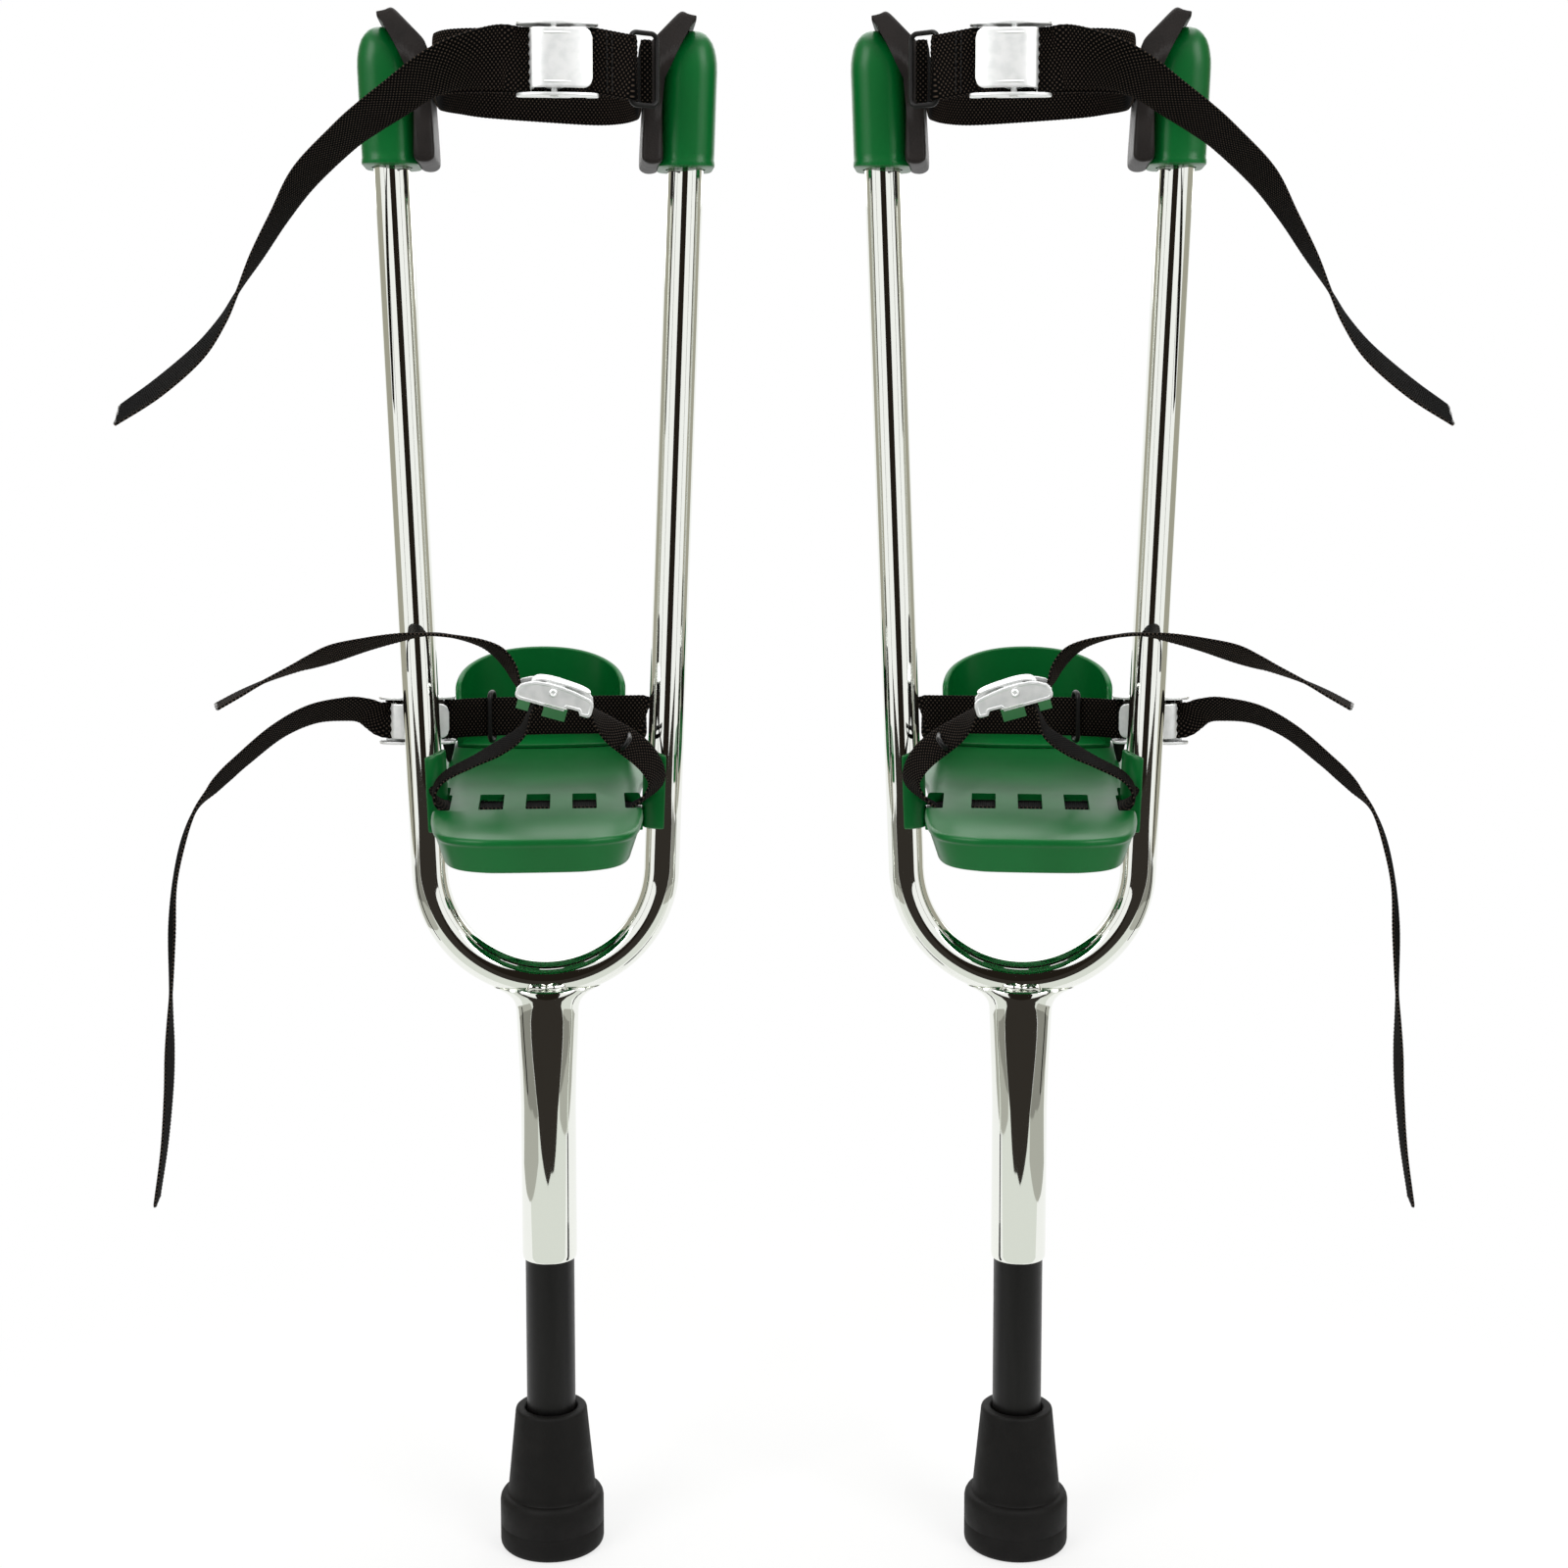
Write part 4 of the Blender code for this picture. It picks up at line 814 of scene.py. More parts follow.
def toe_route():
    """Points of the toe strap, from the buckle's bar round under the plate, and its tilt at each."""
    sizes = settings()[0]
    along, out = toe_axes()

    def at(u, w):
        spot = TOE_BUCKLE + u * along + w * out
        return (spot.x, spot.z)

    top = sizes.plate_top
    hook = arc(at(BAR_ALONG, BAR_ABOVE), BAR_RADIUS + STRAP_OFF, 230, 20, 8)
    under = TOE_BUCKLE.y * math.tan(sizes.plate_tilt) - 0.0052 - STRAP_OFF
    edge = sizes.plate_half - 0.0085
    right = [
        (0.0268, 0.0405), (0.0330, 0.0345), (0.0400, 0.0295), (0.0475, 0.0235), (0.0528, 0.0170),
        (0.0555, 0.0095), (0.0522, 0.0025), (0.0470, under + 0.0056), (edge - 0.001, under + 0.0030),
    ]
    flat = [(0.0390, 0.0030), (0.0350, 0.0033), (0.0300, 0.0035), (0.0225, 0.0035)]
    below = [(x, under + rise) for x, rise in flat]
    below += [(-x, z) for x, z in reversed(below)]
    left = [
        (-edge - 0.002, under + 0.0040), (-0.0500, under + 0.0062), (-0.0540, 0.0018), (-0.0535, 0.0075),
        (-0.0480, 0.0135), (-0.0350, 0.0200), (-0.0220, 0.0267), (-0.0110, 0.0345),
    ]
    inside = [at(-0.009, -0.0042), *[at(u, w) for u, w in strap_in_buckle()]]
    plan = [*hook, *[(x, top + above) for x, above in [*right, *below, *left]], *inside]
    sways = [0] * (len(hook) + len(right) - 3) + [0.1, 0.45, 0.75, 0.9]
    sways += [1] * 6 + [0.9, 0.75, 0.4, 0.1]
    sways += [0] * (len(plan) - len(sways))
    tilts = [0] * len(hook) + [16, 30, 36, 36, 32, 26, 17, 6, 0]
    tilts += [0] * len(below) + [0, 0, 2, 5, 6, 8, 14, 10] + [0] * len(inside)
    return [(a, TOE_BUCKLE.y + TOE_SWAY * sway, b) for (a, b), sway in zip(plan, sways)], tilts


def stitch_rows(places, across, out, run, count, pitch):
    """Rows of short raised stitches on a band's face."""
    straps = settings()[1]
    bm = bmesh.new()
    for place in places:
        for k in range(count):
            centre = place + across * (k - (count - 1) / 2) * pitch
            line = []
            for t in (-0.5, -0.25, 0, 0.25, 0.5):
                line.append(centre + across * straps.stitch * t + out * STITCH_RISE * (1 - 4 * t * t))
            added(bm, wire(line, STITCH_RADIUS, run, 8))
    return bm


class STILTS_OT_straps(bpy.types.Operator):
    """Weaves the knee, ankle and toe straps and sews the short loop"""

    bl_idname = "stilts.straps"
    bl_label = "Straps"

    def execute(self, context):
        straps = settings()[1]
        up, deep = Vector((0, 0, 1)), Vector((0, 1, 0))
        weave = woven_polypropylene()
        for name, route, width in (
            ("knee_strap", knee_route(), straps.knee),
            ("ankle_strap", ankle_route(), straps.foot),
        ):
            line = smooth(route, 6)
            bm = webbing(line, [up] * len(line), width)[0]
            both(f"{name}_webbing", bm, weave, [name])
        start = KNEE_BUCKLE.x + BAR_ALONG
        loop = []
        for a, b in short_route():
            share = min(1, max(0, (a - start) / (RING_FRONT.x - start)))
            loop.append((a, b, KNEE_BUCKLE.z - RING_DROP * share))
        line = smooth(loop, 4, cyclic=True)
        line.append(line[0].copy())
        bm = webbing(line, [up] * len(line), straps.knee, cyclic=True)[0]
        both("knee_loop_webbing", bm, weave, ["knee_short_strap"])
        route, tilts = toe_route()
        line = smooth(route, 6)
        tilts = [math.radians(t.x) for t in smooth([(tilt, 0, 0) for tilt in tilts], 6)]
        across = [math.cos(t) * deep + math.sin(t) * run.cross(deep) for run, t in zip(runs(line), tilts)]
        bm = webbing(line, across, straps.foot)[0]
        both("toe_strap_webbing", bm, weave, ["toe_strap"])
        front = KNEE_BUCKLE.y - BAR_ABOVE - BAR_RADIUS - STRAP_OFF - straps.thick / 2 - 0.0001
        seams = [Vector((x, front, KNEE_BUCKLE.z - 0.45 * RING_DROP)) for x in (0.0327, 0.0351)]
        bm = stitch_rows(seams, up, Vector((0, -1, 0)), Vector((1, 0, 0)), 9, STITCH_PITCH)
        both("knee_loop_stitching", bm, polyester_thread())
        return {"FINISHED"}


# Tubes and foot


class STILTS_OT_ferrules(bpy.types.Operator):
    """Turns the rubber ferrules, with their rolled base and tapered neck"""

    bl_idname = "stilts.ferrules"
    bl_label = "Ferrules"

    def execute(self, context):
        sizes = settings()[0]
        base, top, bore = sizes.ferrule_base / 2, sizes.ferrule, sizes.peg / 2 + 0.0002
        # Insets from the base's radius with heights, then with depths below the top, then the bore's mouth
        outside = [
            (0.0100, 0.0035), (0.0092, 0.0030), (0.0086, 0), (0.0022, 0), (0.0014, 0.0003),
            (0.0007, 0.0010), (0.0002, 0.0020), (0, 0.0032), (0, 0.0115), (0.0002, 0.0118),
            (0.0002, 0.0122), (0, 0.0125), (0, 0.0239), (0.0003, 0.0256), (0.0010, 0.0269),
            (0.0020, 0.0277), (0.0029, 0.0279), (0.0036, 0.0280), (0.0040, 0.0285), (0.0042, 0.0296),
            (0.0044, 0.0319),
        ]
        rim = [(0.0083, 0.0016), (0.0086, 0.0007), (0.0093, 0.0001), (0.0100, 0)]
        mouth = [(0.0016, 0), (0.0010, 0.0003), (0.0006, 0.0010), (0, 0.0050)]
        profile = [(0, 0.0035), *[(base - inset, height) for inset, height in outside]]
        profile += [(base - inset, top - down) for inset, down in rim]
        profile += [(bore + over, top - down) for over, down in mouth]
        profile += [(bore, 0.0200), (0, 0.0200)]
        both("rubber_ferrule", turned(profile, 96), moulded_rubber(), ["ferrule"])
        return {"FINISHED"}


class STILTS_OT_pegs(bpy.types.Operator):
    """Turns the painted peg tubes"""

    bl_idname = "stilts.pegs"
    bl_label = "Peg tubes"

    def execute(self, context):
        sizes = settings()[0]
        outer, low, high = sizes.peg / 2, 0.0210, sizes.stem_foot + 0.080
        inner, edge = outer - 0.002, 0.0003
        profile = [
            (inner, low), (outer - edge, low), (outer, low + edge), (outer, high - edge),
            (outer - edge, high), (inner, high), (inner, low),
        ]
        both("painted_peg", turned(profile, 72), satin_paint(), ["peg_tube"])
        return {"FINISHED"}


class STILTS_OT_stems(bpy.types.Operator):
    """Draws the chromed stems, rolled at the foot and squashed at the top, with their weld beads"""

    bl_idname = "stilts.stems"
    bl_label = "Stems"

    def execute(self, context):
        sizes = settings()[0]
        radius, bore = sizes.stem / 2, sizes.peg / 2 + 0.0004
        # Heights above the stem's foot, with what the bore gains or the stem gains across and in depth
        inside = [(0.060, 0), (0.0012, 0), (0.0003, 0.0003)]
        outside = [
            (0.0, -0.0008, -0.0008), (0.0003, -0.0004, -0.0004), (0.0009, -0.0002, -0.0002),
            (0.0022, -0.0001, -0.0001), (0.0030, 0, 0), (0.060, 0, 0), (0.080, 0, 0),
            (0.090, 0.0002, -0.0003), (0.099, 0.0005, -0.0007), (0.108, 0.0009, -0.0012),
            (0.117, 0.0013, -0.0017), (0.125, 0.0016, -0.0020), (0.1309, 0.0019, -0.0021),
            (0.1336, 0.0026, -0.0021), (0.1360, 0.0041, -0.0021), (0.1380, 0.0062, -0.0022),
            (0.1396, 0.0086, -0.0026), (0.1408, 0.0112, -0.0033), (0.1416, 0.0130, -0.0045),
        ]
        stations = [(up, bore + gain, bore + gain) for up, gain in inside]
        stations += [(up, radius + wide, radius + deep) for up, wide, deep in outside]
        rings = []
        for up, wide, deep in stations:
            turns = [2 * math.pi * k / 72 for k in range(72)]
            rings.append([(wide * math.cos(a), deep * math.sin(a), sizes.stem_foot + up) for a in turns])
        both("chromed_stem", lofted(rings), chromium_plate(), ["stem"])
        outer = sizes.bend + sizes.tube / 2
        centre = sizes.frame_low + sizes.bend
        spots, girths = [], []
        for k in range(120):
            a = 2 * math.pi * k / 120
            x, y = 0.0162 * math.cos(a), 0.0100 * math.sin(a)
            half = sizes.tube / 2
            drop = half - math.sqrt(max(0, half**2 - min(abs(y), 0.0088) ** 2))
            spots.append(Vector((x, y, centre - math.sqrt(outer**2 - x * x) + drop - 0.0006)))
            girths.append(0.0013 + 0.0005 * math.sin(9 * a + 0.6) + 0.0003 * math.sin(17 * a))
        rings = []
        for spot, thick, run in zip(spots, girths, runs(spots, True)):
            side = run.cross(Vector((0, 0, 1))).normalized()
            rise = side.cross(run)
            turns = [2 * math.pi * k / 12 for k in range(12)]
            rings.append([spot + thick * (math.cos(t) * side + math.sin(t) * rise) for t in turns])
        rings.append(rings[0])
        both("weld_bead", lofted(rings, None, False), chromium_plate())
        return {"FINISHED"}


class STILTS_OT_frames(bpy.types.Operator):
    """Bends the chromed U tubes"""

    bl_idname = "stilts.frames"
    bl_label = "U frames"

    def execute(self, context):
        sizes = settings()[0]
        lean = math.atan(sizes.slope)
        top = sizes.cap_foot + 0.039
        line = [Vector((-leg_x(top), 0, top))]
        for i in range(97):
            a = math.pi + lean + (math.pi - 2 * lean) * i / 96
            height = sizes.frame_low + sizes.bend * (1 + math.sin(a))
            line.append(Vector((sizes.bend * math.cos(a), 0, height)))
        line.append(Vector((leg_x(top), 0, top)))
        spots = []
        for a, b in zip(line, line[1:]):
            count = 12 if (b - a).length > 0.1 else 1
            spots += [a.lerp(b, i / count) for i in range(count)]
        tube = wire([*spots, line[-1]], sizes.tube / 2, (0, 1, 0), 64)
        both("chromed_frame", tube, chromium_plate(), ["u_tube"])
        return {"FINISHED"}


# Foot plate and heel

SLOT_PITCH = 0.023
SLOT_HALF = 0.006
SLOT_CORNER = 0.0008
SLOT_FRONT, SLOT_REAR = -0.034, -0.002
NOTCH_DEEP = 0.0085
NOTCH_FRONT, NOTCH_REAR = -0.0347, -0.0020
NOTCH_CORNER = 0.0012
SADDLE_ROOM = 0.0146
SADDLE_TALL = 0.0385
SADDLE_THICK = 0.0018
RIB_HALF = 0.0012
BOLT_HEAD = 0.0048
BOLT_SHANK = 0.0029
BOLT_LONG = 0.0060
PLATE_WALL = 0.003
PLATE_SKIN = 0.0028
HEEL_WALL = 0.003
HEEL_FRONT = 0.112


def plate_tilt():
    """The plate's height and tilt on the stilt's axis."""
    sizes = settings()[0]
    return Matrix.Translation((0, 0, sizes.plate_top)) @ Matrix.Rotation(sizes.plate_tilt, 4, "X")


def plate_matrix():
    """From the plate's own frame to the stilt's."""
    return Matrix.Translation((settings()[0].plate_shift, 0, 0)) @ plate_tilt()


def plate_outline(inset):
    """The plate's plan, drawn in by an even inset and smoothed."""
    sizes = settings()[0]
    half, front = sizes.plate_half - inset, sizes.plate_front - inset
    rear = sizes.plate_rear - inset
    right = [
        (0.35 * half, -front), (0.58 * half, 0.0018 - front), (0.76 * half, 0.0058 - front),
        (0.875 * half, 0.0122 - front), (0.942 * half, 0.0222 - front), (0.977 * half, 0.0362 - front),
        (half, 0.0545 - front), (half, 0.008), (half + 0.0030, 0.030), (half + 0.0052, rear - 0.085),
        (half + 0.0040, rear - 0.056),
        (0.988 * half, rear - 0.034), (0.903 * half, rear - 0.019),
        (0.738 * half, rear - 0.008), (0.485 * half, rear - 0.002), (0.2 * half, rear),
    ]
    points = [*right, *[(-x, y) for x, y in reversed(right)]]
    return [(p.x, p.y) for p in smooth([(x, y, 0) for x, y in points], 5, cyclic=True)]


def cut(bm, others):
    """Cuts other meshes out of a mesh, one after another."""
    thing = stood("cut", bm)
    tools = []
    for other in others:
        tool = stood("tool", other)
        step = thing.modifiers.new("cut", "BOOLEAN")
        step.operation = "DIFFERENCE"
        step.solver = "EXACT"
        step.object = tool
        tools.append(tool)
    bpy.context.view_layer.update()
    seen = thing.evaluated_get(bpy.context.evaluated_depsgraph_get())
    done = bpy.data.meshes.new_from_object(seen)
    for spare in [thing, *tools]:
        bpy.data.objects.remove(spare, do_unlink=True)
    made = bmesh.new()
    made.from_mesh(done)
    bpy.data.meshes.remove(done)
    return made


def block(low, high, edge=0.0):
    """A block between two corners, with its upright edges rounded."""
    bm = bmesh.new()
    bmesh.ops.create_cube(bm, size=1)
    middle = [(a + b) / 2 for a, b in zip(low, high)]
    bmesh.ops.scale(bm, vec=[b - a for a, b in zip(low, high)], verts=bm.verts[:])
    bmesh.ops.translate(bm, vec=middle, verts=bm.verts[:])
    if edge:
        upright = [e for e in bm.edges if abs(e.verts[0].co.z - e.verts[1].co.z) > 1e-6]
        bmesh.ops.bevel(
            bm, geom=upright, offset=edge, offset_type="OFFSET", affect="EDGES",
            segments=4, profile=0.5, material=-1,
        )
    return bm


class STILTS_OT_plates(bpy.types.Operator):
    """Moulds the foot plates: a skirted tray with three slots, two notches and ribs underneath"""

    bl_idname = "stilts.plates"
    bl_label = "Foot plates"

    def execute(self, context):
        sizes = settings()[0]
        deep, draft = sizes.plate_deep, sizes.draft
        inner = PLATE_WALL + draft
        # Insets of the outline with heights, from the underside of the skin round the skirt to the top
        levels = [
            (inner, -PLATE_SKIN), (inner, -deep + 0.0004), (inner - 0.0004, -deep),
            (draft + 0.0007, -deep), (draft, -deep + 0.0004), (draft - 0.0002, -deep + 0.0012),
            (0.0013, -0.0050), (0.0011, -0.0042), (0.0006, -0.0036), (0.0002, -0.0031), (0.0, -0.0025),
            (0.0001, -0.0014), (0.0004, -0.0007), (0.0009, -0.0002), (0.0016, 0.0),
        ]
        rings = [[(x, y, z) for x, y in plate_outline(inset)] for inset, z in levels]
        plate = lofted(rings)
        half, low, high = sizes.plate_half, -0.03, 0.01
        cuts = []
        for i in (-1, 0, 1):
            x = i * SLOT_PITCH
            slot = block((x - SLOT_HALF, SLOT_FRONT, -0.02), (x + SLOT_HALF, SLOT_REAR, high), SLOT_CORNER)
            cuts.append(slot)
        for hand in (-1, 1):
            edges = sorted((hand * (half - NOTCH_DEEP), hand * (half + 0.01)))
            cuts.append(block((edges[0], NOTCH_FRONT, low), (edges[1], NOTCH_REAR, high), NOTCH_CORNER))
        # Room for the outer saddle, which the shifted plate would meet
        corners = (-half - 0.012, -SADDLE_ROOM, low), (-half + 0.0070, SADDLE_ROOM, high)
        cuts.append(block(*corners, NOTCH_CORNER))
        plate = cut(plate, cuts)
        for y, reach in ((-0.0387, half - draft - 0.001), (0.018, half - 0.0008)):
            added(plate, block((-reach, y - RIB_HALF, -deep + 0.003), (reach, y + RIB_HALF, -0.0035)))
        for hand in (-1, 1):
            x = hand * 0.4 * half
            rear = sizes.plate_rear - draft - 0.003
            added(plate, block((x - RIB_HALF, 0.018, -deep + 0.0036), (x + RIB_HALF, rear, -0.0033)))
        placed(plate, plate_matrix())
        pieces = both("moulded_plate", plate, moulded_polypropylene(), ["foot_plate"])
        for piece in pieces:
            round_edges(piece, 0.0005)
        return {"FINISHED"}


def round_edges(piece, width):
    """Rounds a piece's sharp edges with a Bevel modifier."""
    edge = piece.modifiers.new("rounded_edges", "BEVEL")
    edge.width = width
    edge.affect = "EDGES"
    edge.segments = 2
    edge.profile = 0.5
    edge.material = -1
    edge.limit_method = "ANGLE"
    edge.angle_limit = math.radians(SHARP_ANGLE)
    edge.harden_normals = False


class STILTS_OT_heels(bpy.types.Operator):
    """Moulds the heel cups: a bent wall with an arched, rounded rim on a thin foot"""

    bl_idname = "stilts.heels"
    bl_label = "Heel cups"

    def execute(self, context):
        sizes = settings()[0]
        plan = smooth([(x, y, 0) for x, y in heel_line(HEEL_INSET + HEEL_WALL / 2, HEEL_FRONT)], 8)
        rims = [0.52, 0.70, 0.81, 0.895, 0.96, 0.995]
        rims = smooth([(r, 0, 0) for r in [*rims, *reversed(rims)]], 8)
        rings = []
        for spot, rim, run in zip(plan, rims, runs(plan)):
            out = Vector((run.y, -run.x, 0))
            tall = sizes.heel * rim.x
            side = [(0.5, 0.0004), *[(0.5, share * tall) for share in (0.3, 0.6, 0.9)]]
            side += [(0.5, tall - 0.0008), (0.38, tall - 0.0003), (0.2, tall)]
            ring = []
            for off, z in [*side, (0, tall + 0.0001), *[(-off, z) for off, z in reversed(side)]]:
                flare = Vector((spot.x * 0.02 * z / sizes.heel, 0, 0))
                ring.append(spot + flare + out * off * HEEL_WALL + Vector((0, 0, z)))
            rings.append(ring)
        cup = lofted(rings)
        half = sizes.plate_half - HEEL_INSET - 0.0004
        arch = [(half * t / 10, HEEL_FRONT - 0.006 + 0.005 * (t / 10) ** 2) for t in range(-10, 11)]
        rear = smooth([(x, y, 0) for x, y in heel_line(HEEL_INSET + 0.0004, HEEL_FRONT)[1:-1]], 6)
        floor = drawn([*arch, *[(p.x, p.y) for p in rear]], 0.0002, 0.0022, 0.0004)
        placed(added(cup, floor), plate_matrix())
        both("moulded_heel", cup, moulded_polypropylene(), ["heel_cup"])
        return {"FINISHED"}


class STILTS_OT_brackets(bpy.types.Operator):
    """Moulds the saddles on the legs and sets their domed bolts"""

    bl_idname = "stilts.brackets"
    bl_label = "Brackets and bolts"

    def execute(self, context):
        sizes = settings()[0]
        near = sizes.tube / 2 + 0.0003
        seat = near + 0.0033
        low, tall = sizes.bolt - 0.0045, SADDLE_TALL
        far = near + SADDLE_THICK
        for place, side, wrap in (("outer", -1, 84), ("inner", 1, 90)):
            turns = [math.radians(wrap * k / 16) for k in range(-16, 17)]
            rings = []
            for up, share, drawn_in in (
                (0, 0.70, 0.0012), (0.0006, 0.88, 0.0004), (0.0018, 0.98, 0), (0.004, 1, 0),
                (0.5 * tall, 1, 0), (tall - 0.002, 1, 0), (tall - 0.0006, 0.92, 0.0002),
                (tall, 0.75, 0.0008),
            ):
                narrowed = [a * (1 - drawn_in * 20) for a in turns]
                ring = []
                for reach, angles in ((near + (far - near) * share, narrowed), (near, narrowed[::-1])):
                    for a in angles:
                        inward, y = reach * math.cos(a), reach * math.sin(a)
                        z = low + up + (0.3 * (inward - near) + 0.0015) * up / tall
                        ring.append((side * (leg_x(z) - inward), y, z))
                rings.append(ring)
            saddle = lofted(rings)
            face = leg_x(sizes.bolt) - seat - 0.001
            edges = sorted((side * face, side * (face + 0.003)))
            seating = block((edges[0], -0.006, sizes.bolt - 0.0055), (edges[1], 0.006, sizes.bolt + 0.0052))
            added(saddle, seating)
            edges = sorted((side * 0.030, side * (leg_x(sizes.plate_top) - near - 0.0018)))
            tongue = block((edges[0], 0.0005, -0.0073), (edges[1], 0.0095, -0.0045))
            added(saddle, placed(tongue, plate_tilt()))
            hidden = [f"{place}_bracket"]
            for piece in both(f"{place}_saddle", saddle, moulded_polypropylene(), hidden):
                round_edges(piece, 0.0006)
            dome = [
                (0, 0.0037), (0.25, 0.0036), (0.5, 0.0033), (0.72, 0.0026), (0.88, 0.0017), (0.97, 0.0008),
                (1, 0.0003), (0.97, 0),
            ]
            profile = [(share * BOLT_HEAD, height) for share, height in dome]
            profile += [(BOLT_SHANK, 0), (BOLT_SHANK, -BOLT_LONG), (0, -BOLT_LONG)]
            spot = Matrix.Translation((side * (leg_x(sizes.bolt) - seat - 0.0013), 0, sizes.bolt))
            bolt = placed(turned(profile, 40), spot @ Matrix.Rotation(-side * math.pi / 2, 4, "Y"))
            both(f"{place}_domed_bolt", bolt, chromium_plate(), [f"{place}_plate_bolt"])
        return {"FINISHED"}


# Caps and pads


def rounded(inner, outer, half, corner, steps=8):
    """A rounded rectangle in plan, as distances inward from the leg and across."""
    spots = []
    for x, y, start in ((inner, half, 0), (-outer, half, 90), (-outer, -half, 180), (inner, -half, 270)):
        centre = (x - math.copysign(corner, x), y - math.copysign(corner, y))
        spots += arc(centre, corner, start, start + 90, steps)
    return spots


class STILTS_OT_caps(bpy.types.Operator):
    """Moulds the caps on the legs' tops, with a lip at the foot and a screw recess on the outer side"""

    bl_idname = "stilts.caps"
    bl_label = "Caps"

    def execute(self, context):
        sizes = settings()[0]
        wide, deep, top = sizes.cap_half, sizes.cap_deep, sizes.cap_tall
        # Height, reach inward and outward, half depth and corner radius, from the bore to the dome
        stations = [(0.004, 0.0096, 0.0096, 0.0096, 0.0090), (0.0, 0.0098, 0.0098, 0.0098, 0.0092)]
        stations.append((0, wide - 0.0004, wide - 0.0004, deep - 0.0004, 0.0098))
        lip = [(0.0004, 0.0002), (0.0014, 0.0003), (0.0026, 0.0002), (0.0031, 0)]
        stations += [(up, wide + gain, wide + gain, deep + gain, 0.010) for up, gain in lip]
        stations += [(0.0031 + (top - 0.0231) * i / 14, wide, wide, deep, 0.010) for i in range(1, 15)]
        dome = [
            (0.0160, 0.0002, 0.0002, 0.0001, 0.010), (0.0125, 0.0009, 0.0007, 0.0005, 0.010),
            (0.0095, 0.0032, 0.0014, 0.0012, 0.0095), (0.0065, 0.0066, 0.0026, 0.0023, 0.008),
            (0.0042, 0.0090, 0.0042, 0.0038, 0.0062), (0.0022, 0.0110, 0.0060, 0.0058, 0.0045),
            (0.0009, 0.0121, 0.0078, 0.0080, 0.0032), (0, 0.0128, 0.0100, 0.0110, 0.0017),
        ]
        for down, inner, outer, back, corner in dome:
            stations.append((top - down, wide - inner, wide - outer, deep - back, corner))
        for place, side in (("outer", -1), ("inner", 1)):
            rings = []
            for up, inner, outer, half, corner in stations:
                z = sizes.cap_foot + up
                corner = min(corner, (inner + outer) / 2 - 0.0001, half - 0.0001)
                ring = []
                for inward, y in rounded(inner, outer, half, corner):
                    dip = 0.0011 * math.exp(-((up - 0.036) ** 2 + y * y) / 0.0000245) if inward < 0 else 0
                    ring.append((side * (leg_x(z) - inward - dip), y, z))
                rings.append(ring)
            cap = lofted(rings)
            both(f"{place}_moulded_cap", cap, moulded_polypropylene(), [f"{place}_cap"])
        return {"FINISHED"}


class STILTS_OT_pads(bpy.types.Operator):
    """Shapes the foam pads, bent outward over the caps' slanted tops"""

    bl_idname = "stilts.pads"
    bl_label = "Knee pads"

    def execute(self, context):
        sizes = settings()[0]
        near = sizes.cap_half + 0.00055
        far = near + sizes.pad
        slant = sizes.cap_tall + 0.0013
        skew = sizes.pad * math.sqrt(2)
        foot = sizes.cap_foot
        half = sizes.pad_deep / 2
        profile = [
            (near - 0.0016, 0.012), (near - 0.0022, 0.0045), (near - 0.0018, 0.0020), (near, 0.0005),
            (near + 0.0035, 0), (far - 0.0030, 0.0006), (far - 0.0009, 0.0022),
            (pad_face(foot + 0.0040), 0.0045), (pad_face(foot + 0.030), 0.030),
            (pad_face(foot + 0.0525), 0.0525), (pad_face(foot + 0.0566) - 0.0007, 0.0573),
            (far - 0.0052, slant - 0.0067), (0.0096, slant + 0.0026), (0.0067, slant + 0.0056),
            (0.0047, slant + 0.0062), (0.0022, slant + 0.0043), (-0.0012, slant + 0.0018),
            (-0.0020, slant + 0.0012), (-0.0010, slant + 0.0004), (0.0070, slant - 0.0070),
            (near - 0.0012, slant - near + 0.0012), (near, slant - near - 0.0012), (near, 0.040),
        ]
        middle = (near + far) / 2
        edges = [(half, 0.0022), (half - 0.0003, 0.0012), (half - 0.0010, 0.0004), (half - 0.0022, 0)]
        edges.append((half / 2, 0))
        for place, side in (("outer", -1), ("inner", 1)):
            rings = []
            for y, inset in [*[(-y, inset) for y, inset in edges], (0, 0), *reversed(edges)]:
                ring = []
                for inward, up in profile:
                    pull = inset / sizes.pad * 2
                    if up < slant - near - 0.004:
                        inward = inward + (middle - inward) * pull
                        up = up + inset * max(0, 1 - up / 0.004)
                    else:
                        core = slant + skew / 2 - inward
                        up = up + (core - up) * pull if inward < near - 0.002 else up
                    z = foot + up
                    ring.append((side * (leg_x(z) - inward), y, z))
                rings.append(ring)
            pad = lofted(rings)
            for piece in both(f"{place}_foam_pad", pad, skinned_foam(), [f"{place}_pad"]):
                soft = piece.modifiers.new("soft_edges", "SUBSURF")
                soft.levels = 2
                soft.render_levels = 2
        return {"FINISHED"}


# Buckles, cams and rings


def buckle_places():
    """Each buckle's name, webbing width and frame: X along its webbing, Y across it, Z out of its face."""
    straps = settings()[1]
    along, out = toe_axes()
    flat = Matrix(((1, 0, 0), (0, 0, 1), (0, -1, 0))).transposed().to_4x4()
    dipped = Matrix((along, (0, 1, 0), out)).transposed().to_4x4()
    return [
        ("knee", straps.knee, Matrix.Translation(KNEE_BUCKLE) @ flat),
        ("ankle", straps.foot, Matrix.Translation(ANKLE_BUCKLE) @ flat),
        ("toe", straps.foot, Matrix.Translation(TOE_BUCKLE) @ dipped),
    ]


